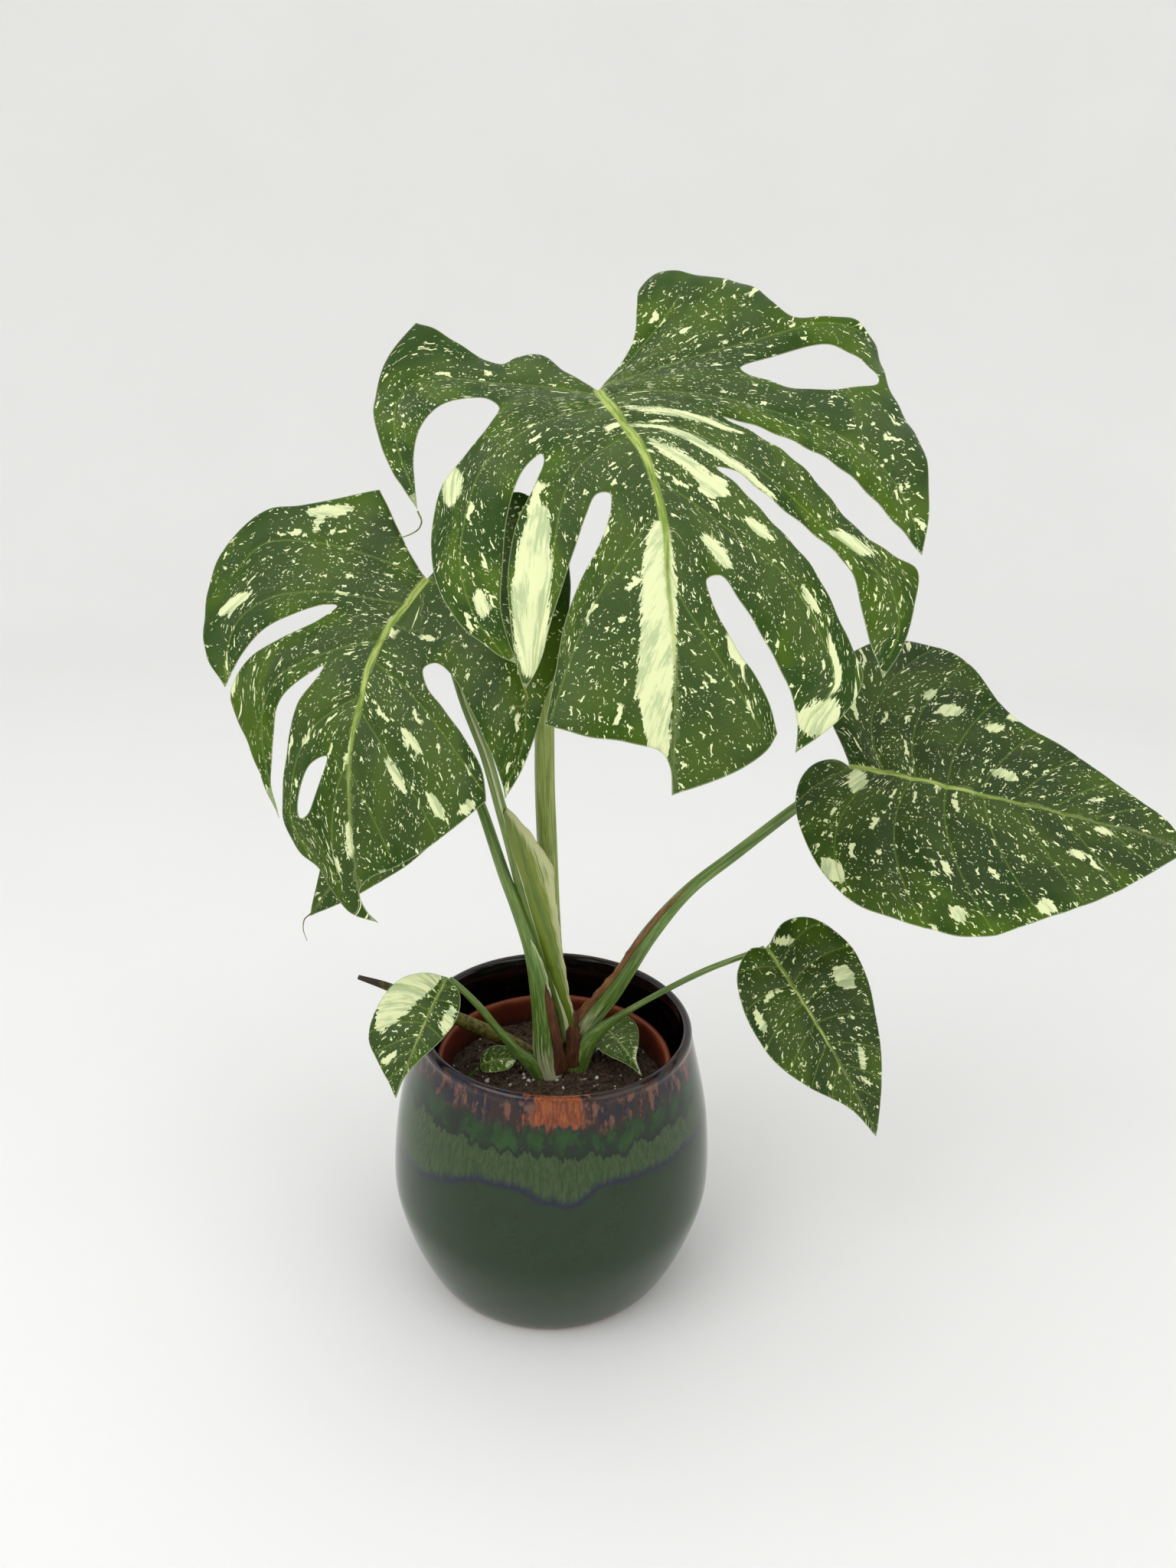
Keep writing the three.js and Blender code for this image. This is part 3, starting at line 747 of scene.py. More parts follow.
def nearness(points: np.ndarray, line: np.ndarray, run_on: float = 0.0) -> Nearness:
    """Measures points against a line in the plane.

    Args:
        points: N by 2.
        line: M by 2.
        run_on: How many of its end spans the line is lengthened by at both ends.

    Returns:
        One value of each kind for each point; side is positive to the left of the line.
    """
    starts, spans = line[:-1], np.diff(line, axis=0)
    lengths = np.maximum(np.linalg.norm(spans, axis=1), 1e-9)
    arcs = np.concatenate([[0.0], np.cumsum(lengths)[:-1]])
    lowest, highest = np.zeros(len(spans)), np.ones(len(spans))
    lowest[0] -= run_on
    highest[-1] += run_on
    distance, arc, side = (np.empty(len(points)) for _ in range(3))
    for first in range(0, len(points), 2000):
        chunk = points[first : first + 2000, None, :] - starts
        t = np.clip((chunk * spans).sum(2) / lengths**2, lowest, highest)
        off = chunk - t[..., None] * spans
        far = np.linalg.norm(off, axis=2)
        best = far.argmin(1)
        rows = np.arange(len(best))
        span = slice(first, first + len(best))
        distance[span] = far[rows, best]
        arc[span] = arcs[best] + t[rows, best] * lengths[best]
        side[span] = np.sign(spans[best, 0] * chunk[rows, best, 1] - spans[best, 1] * chunk[rows, best, 0])
    return Nearness(distance, arc, side)


def inside(points: np.ndarray, loops: list[np.ndarray]) -> np.ndarray:
    """Tells which points lie inside an outline and outside its holes.

    Args:
        points: N by 2.
        loops: The outline and its holes.

    Returns:
        One truth value for each point.
    """
    result = np.zeros(len(points), bool)
    for loop in loops:
        for (x0, y0), (x1, y1) in zip(loop, np.roll(loop, -1, axis=0)):
            if y0 == y1:
                continue
            crosses = (points[:, 1] < y0) != (points[:, 1] < y1)
            result ^= crosses & (points[:, 0] < x0 + (points[:, 1] - y0) * (x1 - x0) / (y1 - y0))
    return result


def make_piece(name: str, vertices: np.ndarray, faces: list[Face], materials: list[Material]) -> Piece:
    """Makes a smooth-shaded mesh object that rides on the one body.

    Args:
        name: The piece's name.
        vertices: N by 3, in millimetres.
        faces: Vertex index lists.
        materials: Its material slots.

    Returns:
        The object.
    """
    mesh = bpy.data.meshes.new(name)
    mesh.from_pydata((vertices * MM).tolist(), [], faces)
    for material in materials:
        mesh.materials.append(material)
    mesh.shade_smooth()
    piece = bpy.data.objects.new(name, mesh)
    bpy.context.scene.collection.objects.link(piece)
    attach(piece, BODY)
    return piece


def set_attribute(piece: Piece, name: str, values: np.ndarray) -> None:
    """Stores one number or one vector for each vertex.

    Args:
        piece: A mesh object.
        name: The attribute's name.
        values: N numbers, or N by 3.
    """
    kind, key = ("FLOAT", "value") if values.ndim == 1 else ("FLOAT_VECTOR", "vector")
    made = piece.data.attributes.new(name, kind, "POINT")
    made.data.foreach_set(key, np.ascontiguousarray(values, np.float32).ravel())


def ring_faces(rings: int, sides: int, closed: bool = True) -> list[Face]:
    """The quads between rings of vertices, all of one size.

    Args:
        rings: How many rings.
        sides: Vertices in each.
        closed: Whether each ring comes back to its start.

    Returns:
        The faces.
    """
    spans = sides if closed else sides - 1
    return [
        (r * sides + k, r * sides + (k + 1) % sides, (r + 1) * sides + (k + 1) % sides, (r + 1) * sides + k)
        for r in range(rings - 1)
        for k in range(spans)
    ]


def tube_faces(rings: int, sides: int) -> list[Face]:
    """Returns the quads between closed rings of vertices, with a cap at each end."""
    caps = [tuple(range(sides))[::-1], tuple(range((rings - 1) * sides, rings * sides))]
    return ring_faces(rings, sides) + caps


# ---- leaves


class Side(Enum):
    """A half of a blade, seen on its upper face with the tip down."""

    LEFT = -1
    RIGHT = 1


@dataclass
class Splash:
    """A large cream area: a stroke of one half width along a line on the blade."""

    line: list[Point]
    half_width: float


@dataclass
class LeafBlade:
    """One leaf blade. The flat outline is in [along, across] millimetres from the stalk junction, where
    along runs to the tip and across to the right, and the blade is bent from that plane."""

    node: str
    junction: Point
    tip: Point
    face: Point
    arch: float
    margin: list[list[Point]]
    keel: float = 0.05
    droop: float = 0.05
    holes: list[list[Point]] = field(default_factory=list)
    midrib: list[Point] = field(default_factory=list)
    left_veins: list[list[Point]] = field(default_factory=list)
    right_veins: list[list[Point]] = field(default_factory=list)
    splashes: list[Splash] = field(default_factory=list)
    threads: list[list[Point]] = field(default_factory=list)
    finish: LeafFinish = field(default_factory=LeafFinish)
    rib_width: float = 3.0
    cell: float = 2.3
    thickness: float = 0.7
    ripple: float = 1.0
    seed: float = 0.0

    LOBE_SAG = 8.0
    VALLEY_WIDTH = 12.0
    VEIN_RUN_ON = 5.0
    GROWN_VEINS = 8
    PUFF = 2.6
    VEIN_GROOVE = 0.45
    RIB_GROOVE = 0.8
    RIB_KEEL = 2.0
    VEIN_KEEL = 0.5
    NO_CREAM = -20.0

    def length(self) -> float:
        """Returns the distance from junction to tip."""
        return math.dist(self.junction, self.tip)

    def axes(self) -> np.ndarray:
        """The blade's own directions.

        Returns:
            Along, across and up, as rows.
        """
        along = np.subtract(self.tip, self.junction) / self.length()
        up = np.array(self.face) - np.dot(self.face, along) * along
        up /= np.linalg.norm(up)
        return np.array([along, np.cross(up, along), up])

    def bend(self, flat: np.ndarray) -> np.ndarray:
        """The arch, the folded halves and the hanging lobes.

        Args:
            flat: N by 2 points.

        Returns:
            The height of the blade's middle surface over its plane.
        """
        along, across = flat.T
        middle = self.length() / 2
        slope = 2 * self.arch / middle
        front = self.arch * (1 - ((along - middle) / middle) ** 2)
        back = self.LOBE_SAG * (np.exp(np.minimum(along, 0.0) * slope / self.LOBE_SAG) - 1)
        fold = self.keel * (np.hypot(across, self.VALLEY_WIDTH) - self.VALLEY_WIDTH)
        return np.where(along >= 0, front, back) + (fold - self.droop * across**2 / 100)

    def place(self, flat: np.ndarray, height: np.ndarray) -> np.ndarray:
        """Returns points of the bent blade in the frame, from flat points and heights."""
        return np.array(self.junction) + np.column_stack([flat, height]) @ self.axes()

    def loops(self) -> list[np.ndarray]:
        """Returns the outline and the holes as fine closed loops."""
        outline = np.vstack([smooth_run(run, self.cell)[:-1] for run in self.margin])
        return [outline, *(smooth_run(hole, self.cell, closed=True) for hole in self.holes)]

    def rib_line(self) -> np.ndarray:
        """Returns the midrib, from junction to tip."""
        straight = [(0.0, 0.0), (self.length() / 2, 0.0), (self.length(), 0.0)]
        return smooth_run(self.midrib or straight, self.cell)

    def grown_veins(self, side: Side) -> list[list[Point]]:
        """Side veins of a whole leaf: they leave the midrib more and more steeply and bend to the tip.

        Args:
            side: Which half.

        Returns:
            One line for each vein, base to margin.
        """
        veins = []
        length = self.length()
        for k in range(self.GROWN_VEINS):
            start = length * (0.01 + 0.088 * k + 0.002 * k * k)
            angle = math.radians(138 - 14.5 * k + 3 * math.sin(5 * k + side.value + self.seed))
            reach = length * 0.75
            line = []
            for t in np.linspace(0, 1, 9):
                forward = reach * (t * math.cos(angle) + 0.75 * t * t)
                line.append((start + forward, side.value * reach * t * math.sin(angle)))
            veins.append(line)
        return veins

    def veins(self, side: Side, loops: list[np.ndarray]) -> list[np.ndarray]:
        """Side veins of one half, kept inside the margin.

        Args:
            side: Which half.
            loops: The outline and holes.

        Returns:
            The veins in order from base to tip.
        """
        given = self.left_veins if side is Side.LEFT else self.right_veins
        lines = []
        for points in given or self.grown_veins(side):
            line = smooth_run(points, self.cell)
            out = ~inside(line, loops)
            out[:3] = False
            lines.append(line if given or not out.any() else line[: max(3, int(out.argmax()))])
        return lines

    def flow(self, flat: np.ndarray, veins: list[np.ndarray], side: Side) -> tuple[np.ndarray, np.ndarray]:
        """Coordinates along and across the side veins of one half.

        Args:
            flat: N by 2 points.
            veins: The half's veins, base to tip.
            side: Which half.

        Returns:
            N by 2 coordinates in millimetres, and the distance to the nearest vein.
        """
        found = [nearness(flat, vein, run_on=self.VEIN_RUN_ON) for vein in veins]
        far = np.array([n.distance for n in found])
        lateral = np.min([nearness(flat, vein).distance for vein in veins], axis=0)
        arc = np.array([n.arc for n in found])
        tipward = np.array([n.side for n in found]) * -side.value > 0
        middles = np.array([vein[len(vein) // 2] for vein in veins])
        offsets = arc_lengths(middles)
        near = far.argmin(0)
        rows = np.arange(len(flat))
        other = np.where(tipward[near, rows], near + 1, near - 1)
        alone = (other < 0) | (other >= len(veins))
        partner = np.clip(other, 0, len(veins) - 1)
        d0, d1 = far[near, rows], np.where(alone, 1e9, far[partner, rows])
        share = d0 / (d0 + d1 + 1e-9)
        u = arc[near, rows] * (1 - share) + arc[partner, rows] * share
        beyond = np.where(tipward[near, rows], 1, -1) * d0
        step = np.where(alone, beyond, (offsets[partner] - offsets[near]) * share)
        return np.column_stack([u, offsets[near] + step]), lateral

    def cream(self, flat: np.ndarray) -> np.ndarray:
        """How far inside the cream splashes points lie.

        Args:
            flat: N by 2 points.

        Returns:
            One depth in millimetres for each point, negative outside.
        """
        reach = np.full(len(flat), self.NO_CREAM)
        for splash in self.splashes:
            line = np.array(splash.line, float)
            found = nearness(flat, line)
            share = 2 * found.arc / arc_lengths(line)[-1] - 1
            taper = np.sqrt(np.clip(1.15 - share**2, 0.05, 1.0))
            reach = np.maximum(reach, splash.half_width * taper - found.distance)
        return reach

    def scatter(self, loops: list[np.ndarray], lines: list[np.ndarray]) -> np.ndarray:
        """Points of a triangular grid inside the margin and clear of the lines.

        Args:
            loops: The outline and holes.
            lines: Midrib and veins.

        Returns:
            N by 2 points.
        """
        low, high = loops[0].min(0), loops[0].max(0)
        row_gap = self.cell * math.sqrt(3) / 2
        rows = np.arange(low[1], high[1], row_gap)
        grid = [
            (x, y)
            for k, y in enumerate(rows)
            for x in np.arange(low[0] + (k % 2) * self.cell / 2, high[0], self.cell)
        ]
        grid = np.array(grid)
        grid = grid[inside(grid, loops)]
        clear = np.ones(len(grid), bool)
        for line in [*map(looped, loops), *lines]:
            clear &= nearness(grid, line).distance > 0.55 * self.cell
        return grid[clear]

    def triangles(self, loops: list[np.ndarray], lines: list[np.ndarray]) -> tuple[np.ndarray, np.ndarray]:
        """Covers the blade with triangles whose edges follow margin, midrib and veins.

        Args:
            loops: The outline and holes.
            lines: Midrib and veins.

        Returns:
            N by 2 points and M by 3 indices.
        """
        points: list[Point] = []
        edges: list[tuple[int, int]] = []
        for loop in loops:
            first = len(points)
            points += loop.tolist()
            edges += [(first + k, first + (k + 1) % len(loop)) for k in range(len(loop))]
        rings = [looped(loop) for loop in loops]
        for line in lines:
            kept = inside(line, loops)
            for ring in rings:
                kept &= nearness(line, ring).distance > 0.5 * self.cell
            for k, point in enumerate(line):
                if kept[k]:
                    points.append(tuple(point))
                    if k and kept[k - 1]:
                        edges.append((len(points) - 2, len(points) - 1))
        points += self.scatter(loops, lines).tolist()
        made = geometry.delaunay_2d_cdt([Vector(p) for p in points], edges, [], 0, 1e-4)
        flat = np.array([tuple(v) for v in made[0]])
        faces = np.array([f for f in made[2] if len(f) == 3])
        return flat, faces[inside(flat[faces].mean(1), loops)]

    def relief(self, flat: np.ndarray, lateral: np.ndarray, rib: np.ndarray, edge: np.ndarray) -> np.ndarray:
        """Height of the finer relief: sunk veins, puffed fields between them and a wavy margin.

        Args:
            flat: N by 2 points.
            lateral: Distance to the nearest side vein.
            rib: Distance to the midrib's border.
            edge: Distance to the margin.

        Returns:
            One height for each point.
        """
        scale = self.length() / 200
        fields = self.PUFF * scale * (1 - np.exp(-lateral / 9.0)) * (1 - np.exp(-edge / 12.0))
        grooves = -self.VEIN_GROOVE * np.exp(-((lateral / 1.6) ** 2))
        grooves -= self.RIB_GROOVE * np.exp(-((np.maximum(rib, 0) / 2.2) ** 2))
        wave = np.sin(flat[:, 0] * 0.085 + self.seed) + np.sin(flat[:, 1] * 0.071 + 2 * self.seed + 1.0)
        fine = np.sin(flat[:, 0] * 0.23 + flat[:, 1] * 0.17 + self.seed)
        ripples = self.ripple * (1.6 * wave + 0.5 * fine) * np.exp(-edge / 14.0)
        return fields + grooves + ripples * (1 - np.exp(-np.abs(rib) / 25.0))

    def build(self) -> list[Piece]:
        """Builds the blade and dresses it.

        Returns:
            The blade, which stands for the CAD one, and its threads.
        """
        loops = self.loops()
        rib_line = self.rib_line()
        sides = {side: self.veins(side, loops) for side in Side}
        lines = [rib_line, *sides[Side.LEFT], *sides[Side.RIGHT]]
        flat, faces = self.triangles(loops, lines)
        to_rib = nearness(flat, rib_line)
        right = to_rib.side > 0
        flow = np.zeros((len(flat), 3))
        lateral = np.zeros(len(flat))
        for side, mask in ((Side.LEFT, ~right), (Side.RIGHT, right)):
            coordinates, distance = self.flow(flat[mask], sides[side], side)
            flow[mask, :2] = coordinates + (0.0, 500.0 * (side.value + 1) + 70.0 * self.seed)
            lateral[mask] = distance
        left_over = 1 - to_rib.arc / self.length()
        half_rib = self.rib_width / 2 * np.clip(1.15 * left_over, 0.12, 1.0)
        rib = to_rib.distance - half_rib
        edge = np.min([nearness(flat, looped(loop)).distance for loop in loops], axis=0)
        upper = self.bend(flat) + self.relief(flat, lateral, rib, edge)
        keel = self.RIB_KEEL * np.exp(-((np.maximum(rib, 0) / 2.0) ** 2)) * np.clip(0.2 + left_over, 0.1, 1)
        body = self.thickness * (0.45 + 0.55 * np.clip(edge / 2.5, 0, 1))
        ridges = self.VEIN_KEEL * np.exp(-((lateral / 1.3) ** 2)) * np.clip(edge / 6, 0, 1)
        lower = upper - body - keel - ridges
        spine = np.column_stack([to_rib.arc, to_rib.side * to_rib.distance, left_over])
        fields = {"flow": flow, "spine": spine, "rib": rib, "lateral": lateral, "edge": edge}
        blade = self.dress(flat, faces, (upper, lower), fields)
        return [blade, *(self.drip_thread(thread, k) for k, thread in enumerate(self.threads))]

    def dress(
        self,
        flat: np.ndarray,
        faces: np.ndarray,
        heights: tuple[np.ndarray, np.ndarray],
        fields: dict[str, np.ndarray],
    ) -> Piece:
        """Joins the two faces and the rim into one object with its attributes, map and materials.

        Args:
            flat: N by 2 points.
            faces: M by 3 indices.
            heights: Upper and lower heights.
            fields: Attribute values of the points.

        Returns:
            The object.
        """
        count = len(flat)
        directed = {(int(a), int(b)) for f in faces for a, b in ((f[0], f[1]), (f[1], f[2]), (f[2], f[0]))}
        border = [(a, b) for a, b in directed if (b, a) not in directed]
        border.sort()
        rim = [(b, a, a + count, b + count) for a, b in border]
        top, bottom = faces.tolist(), (faces[:, ::-1] + count).tolist()
        vertices = np.vstack([self.place(flat, heights[0]), self.place(flat, heights[1])])
        materials = [self.finish.upper(self.node + "_upper"), self.finish.under(self.node + "_under")]
        piece = make_piece(self.node + "_blade", vertices, top + bottom + rim, materials)
        slots = [0] * len(top) + [1] * len(bottom) + [0] * len(rim)
        piece.data.polygons.foreach_set("material_index", slots)
        fields = {**fields, "cream": self.cream(flat)}
        for name, values in fields.items():
            set_attribute(piece, name, np.concatenate([values, values]))
        self.unwrap(piece, flat)
        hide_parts(self.node)
        return piece

    def unwrap(self, piece: Piece, flat: np.ndarray) -> None:
        """Lays the upper face in the map's left half and the lower face in its right half.

        Args:
            piece: The blade.
            flat: The points of one face.
        """
        low, high = flat.min(0), flat.max(0)
        unit = (flat - low) / (high - low)
        upper = np.column_stack([0.01 + 0.47 * unit[:, 1], 0.01 + 0.98 * unit[:, 0]])
        coordinates = np.vstack([upper, upper + (0.51, 0.0)])
        corners = np.empty(len(piece.data.loops), np.int32)
        piece.data.loops.foreach_get("vertex_index", corners)
        layer = piece.data.uv_layers.new(name="OFBake")
        layer.data.foreach_set("uv", coordinates[corners].astype(np.float32).ravel())

    def drip_thread(self, line: list[Point], number: int) -> Piece:
        """A dried thread at the end of a lobe.

        Args:
            line: [along, across, height] points, from the lobe's end outwards.
            number: Tells the leaf's threads apart.

        Returns:
            The object.
        """
        path = smooth_run(line, 1.0)
        centres = self.place(path[:, :2], path[:, 2] + self.bend(path[:, :2]))
        radii = np.linspace(0.55, 0.18, len(centres))
        tube = Stalk(f"{self.node}_thread_{number}", [], finish=WitheredFinish(), slot="leaf", sides=8)
        return tube.loft(centres, np.column_stack([radii, radii, radii]))


# ---- stalks and sheaths


@dataclass
class Stalk:
    """A stalk lofted through stations, base to top: [x, y, z, half width, front depth, back depth], or
    [x, y, z, radius] where it is round."""

    name: str
    stations: list[Point]
    front: Point = (0.0, -1.0, 0.0)
    finish: Finish = field(default_factory=StalkFinish)
    slot: str = "stalk"
    replaces: str = ""
    sides: int = 28
    ridges: float = 0.0
    base_pale: float = 0.0
    top_pale: float = 0.0
    pale_line: float = 0.0
    line_angle: float = 2.1
    spacing: float = 3.0

    PALE_SHARE = 0.25

    def build(self) -> Piece:
        """Builds and dresses the stalk through its stations.

        Returns:
            The object.
        """
        stations = [(*s, s[3], s[3]) if len(s) == 4 else s for s in self.stations]
        path = smooth_run(stations, self.spacing)
        return self.loft(path[:, :3], path[:, 3:6])

    def loft(self, centres: np.ndarray, depths: np.ndarray) -> Piece:
        """Skins rings round the centres.

        Args:
            centres: N by 3.
            depths: Half width, front depth and back depth at each centre.

        Returns:
            The object.
        """
        tangents = np.gradient(centres, axis=0)
        tangents /= np.linalg.norm(tangents, axis=1)[:, None]
        towards = np.array(self.front) - (tangents @ np.array(self.front))[:, None] * tangents
        towards /= np.linalg.norm(towards, axis=1)[:, None]
        across = np.cross(towards, tangents)
        angle = around(self.sides)
        arc = arc_lengths(centres)
        vertices, wraps, pales = [], [], []
        for k, centre in enumerate(centres):
            half, front, back = depths[k]
            ridge = 1 + self.ridges * np.cos(9 * angle + 0.4 * math.sin(arc[k] / 30)) * 0.5
            w = half * np.cos(angle) * ridge
            d = np.where(np.sin(angle) > 0, front, back) * np.sin(angle) * ridge
            vertices.append(centre + w[:, None] * across[k] + d[:, None] * towards[k])
            wraps.append(circle((half + front) / 2, self.sides, arc[k]))
            share = arc[k] / arc[-1]
            pale = self.base_pale * max(0.0, 1 - share / self.PALE_SHARE)
            pale += self.top_pale * max(0.0, (share - 1 + self.PALE_SHARE) / self.PALE_SHARE)
            pales.append(pale + self.pale_line * np.exp(-(((angle - self.line_angle) / 0.22) ** 2)))
        faces = tube_faces(len(centres), self.sides)
        piece = make_piece(self.name, np.vstack(vertices), faces, [self.finish.material(self.name)])
        set_attribute(piece, "round", np.vstack(wraps) + (len(self.name) * 7.0, 0.0, 0.0))
        set_attribute(piece, "pale", np.concatenate(pales))
        if self.replaces:
            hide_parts(self.replaces)
        return piece


@dataclass
class SheathWing:
    """A thin wing of a leaf sheath between a line on the stalk and its free margin."""

    name: str
    inner: list[Point]
    outer: list[Point]
    bulge: Point
    finish: Finish
    slot: str
    replaces: str = ""
    thickness: float = 1.0
    pale_margin: float = 0.0
    rows: int = 90
    columns: int = 14
    ragged: float = 0.3

    PALE_FROM = 0.4

    def build(self) -> Piece:
        """Builds and dresses the wing.

        Returns:
            The object.
        """
        inner, outer = (self.even(line) for line in (self.inner, self.outer))
        share = np.linspace(0, 1, self.columns)
        arc = arc_lengths(inner)
        bulge = np.array(self.bulge)
        fronts, wraps, pales = [], [], []
        for k in range(self.rows):
            width = np.linalg.norm(outer[k] - inner[k])
            wobble = math.sin(k * 0.83) + 0.6 * math.sin(k * 0.31 + 1) + 0.3 * math.sin(k * 2.1)
            wobble *= self.ragged
            line = inner[k] + share[:, None] * (outer[k] - inner[k]) * (1 + wobble / max(width, 4.0))
            belly = np.sin(math.pi * np.clip(share * 0.92, 0, 1))[:, None] * bulge * min(1.0, width / 16)
            fronts.append(line + belly)
            wraps.append(share[:, None] * (width, 0.0, 0.0) + (0.0, 0.0, arc[k]))
            high = max(0.0, k / self.rows - self.PALE_FROM)
            pales.append(self.pale_margin * (share**2.6 + high * share))
        front = np.array(fronts)
        normal = np.cross(np.gradient(front, axis=1), np.gradient(front, axis=0))
        normal /= np.maximum(np.linalg.norm(normal, axis=2), 1e-9)[..., None]
        if (normal.reshape(-1, 3) @ bulge).mean() < 0:
            normal = -normal
        thin = self.thickness * np.linspace(1, 0.35, self.columns)[None, :, None]
        back = front - normal * thin
        count = self.rows * self.columns
        one = ring_faces(self.rows, self.columns, closed=False)
        faces = [*one, *(tuple(i + count for i in face[::-1]) for face in one), *self.rim(count)]
        vertices = np.vstack([front.reshape(-1, 3), back.reshape(-1, 3)])
        piece = make_piece(self.name, vertices, faces, [self.finish.material(self.name)])
        set_attribute(piece, "round", np.tile(np.vstack(wraps), (2, 1)))
        set_attribute(piece, "pale", np.tile(np.concatenate(pales), 2))
        if self.replaces:
            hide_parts(self.replaces)
        return piece

    def even(self, line: list[Point]) -> np.ndarray:
        """A smooth line through points, in as many even steps as the wing has rows.

        Args:
            line: The points.

        Returns:
            One point for each row.
        """
        path = smooth_run(line, 1.0)
        arc = arc_lengths(path)
        wanted = np.linspace(0, arc[-1], self.rows)
        return np.column_stack([np.interp(wanted, arc, path[:, axis]) for axis in range(3)])

    def rim(self, count: int) -> list[Face]:
        """The faces that close the wing's edge between its front and back.

        Args:
            count: How many vertices the front has.

        Returns:
            The faces.
        """
        rows, columns = self.rows, self.columns
        loop = [*range(columns), *range(2 * columns - 1, count, columns)]
        loop += [*range(count - 2, count - columns - 1, -1), *range(count - 2 * columns, 0, -columns)]
        return [(b, a, a + count, b + count) for a, b in zip(loop, loop[1:] + loop[:1])]


# ---- pots and soil


def turn(profile: list[Point], sides: int, wobble: float = 0.0) -> tuple[np.ndarray, list[Face]]:
    """Turns a profile of [radius, height] pairs round the axis.

    Args:
        profile: From the axis round to the axis again.
        sides: Vertices in each ring.
        wobble: How far a hand-made round strays, as a share of the radius.

    Returns:
        Vertices and faces, closed at both ends.
    """
    angle = around(sides)
    rings = []
    for radius, height in profile[1:-1]:
        stray = 1 + wobble * (np.sin(2 * angle + height / 60) + 0.5 * np.sin(3 * angle - height / 45 + 1))
        rings.append(circle(radius * stray, sides, height))
    faces = ring_faces(len(rings), sides)
    ends = np.array([[0.0, 0.0, profile[0][1]], [0.0, 0.0, profile[-1][1]]])
    first, last = len(rings) * sides, len(rings) * sides + 1
    faces += [(first, (k + 1) % sides, k) for k in range(sides)]
    base = (len(rings) - 1) * sides
    faces += [(last, base + k, base + (k + 1) % sides) for k in range(sides)]
    return np.vstack([*rings, ends]), faces


@dataclass
class GlazedPot:
    """Barrel-shaped clay pot with a rounded lip, in millimetres."""

    height: float = 199.0
    rim_radius: float = 97.6
    belly_radius: float = 116.0
    belly_height: float = 84.0
    foot_radius: float = 88.0
    wall: float = 7.0
    floor: float = 9.0
    sides: int = 192
    spacing: float = 3.0

    def outside(self) -> np.ndarray:
        """The outer profile.

        Returns:
            [radius, height] points from foot to lip.
        """
        return smooth_run(
            [
                (self.foot_radius, 0.6),
                (self.foot_radius + 3, 2.5),
                (self.foot_radius + 8, 10),
                (self.belly_radius - 9, 36),
                (self.belly_radius - 1, 66),
                (self.belly_radius, self.belly_height),
                (self.belly_radius - 4, 130),
                (self.rim_radius + 5, 172),
                (self.rim_radius, self.height - 7),
            ],
            self.spacing,
        )

    def build(self) -> list[Piece]:
        """Builds and glazes the pot.

        Returns:
            The one object.
        """
        outside = self.outside()
        rim = self.rim_radius
        lip = smooth_run(
            [
                (rim, self.height - 7),
                (rim + 0.2, self.height - 4),
                (rim - 1.2, self.height - 1.2),
                (rim - 3.8, self.height),
                (rim - 6.2, self.height - 1.6),
                (rim - 7.6, self.height - 7),
            ],
            0.8,
        )[1:]
        hollow = (outside[:, 1] > self.floor + 6) & (outside[:, 1] < self.height - 12)
        inner = outside[hollow][::-1] - (self.wall, 0)
        foot = self.foot_radius
        bottom = [(foot - 3, self.floor + 3), (foot - 9, self.floor)]
        base = [(0, 0.9), (foot - 7, 0.9), (foot - 5, 0.0), (foot - 1, 0.0)]
        profile = [*base, *outside.tolist(), *lip.tolist(), *inner.tolist(), *bottom, (0, self.floor)]
        vertices, faces = turn(profile, self.sides, wobble=0.0012)
        piece = make_piece("glazed_pot_turned", vertices, faces, [GlazeFinish().material("pot_glaze")])
        radius = np.hypot(vertices[:, 0], vertices[:, 1])
        shell = np.interp(vertices[:, 2], outside[:, 1], outside[:, 0])
        top = vertices[:, 2] > self.height - 7
        within = np.where(top, radius < rim - 5.4, radius < shell - 3) & (vertices[:, 2] > self.floor - 2)
        set_attribute(piece, "inside", within.astype(float))
        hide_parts("glazed_pot")
        return [piece]


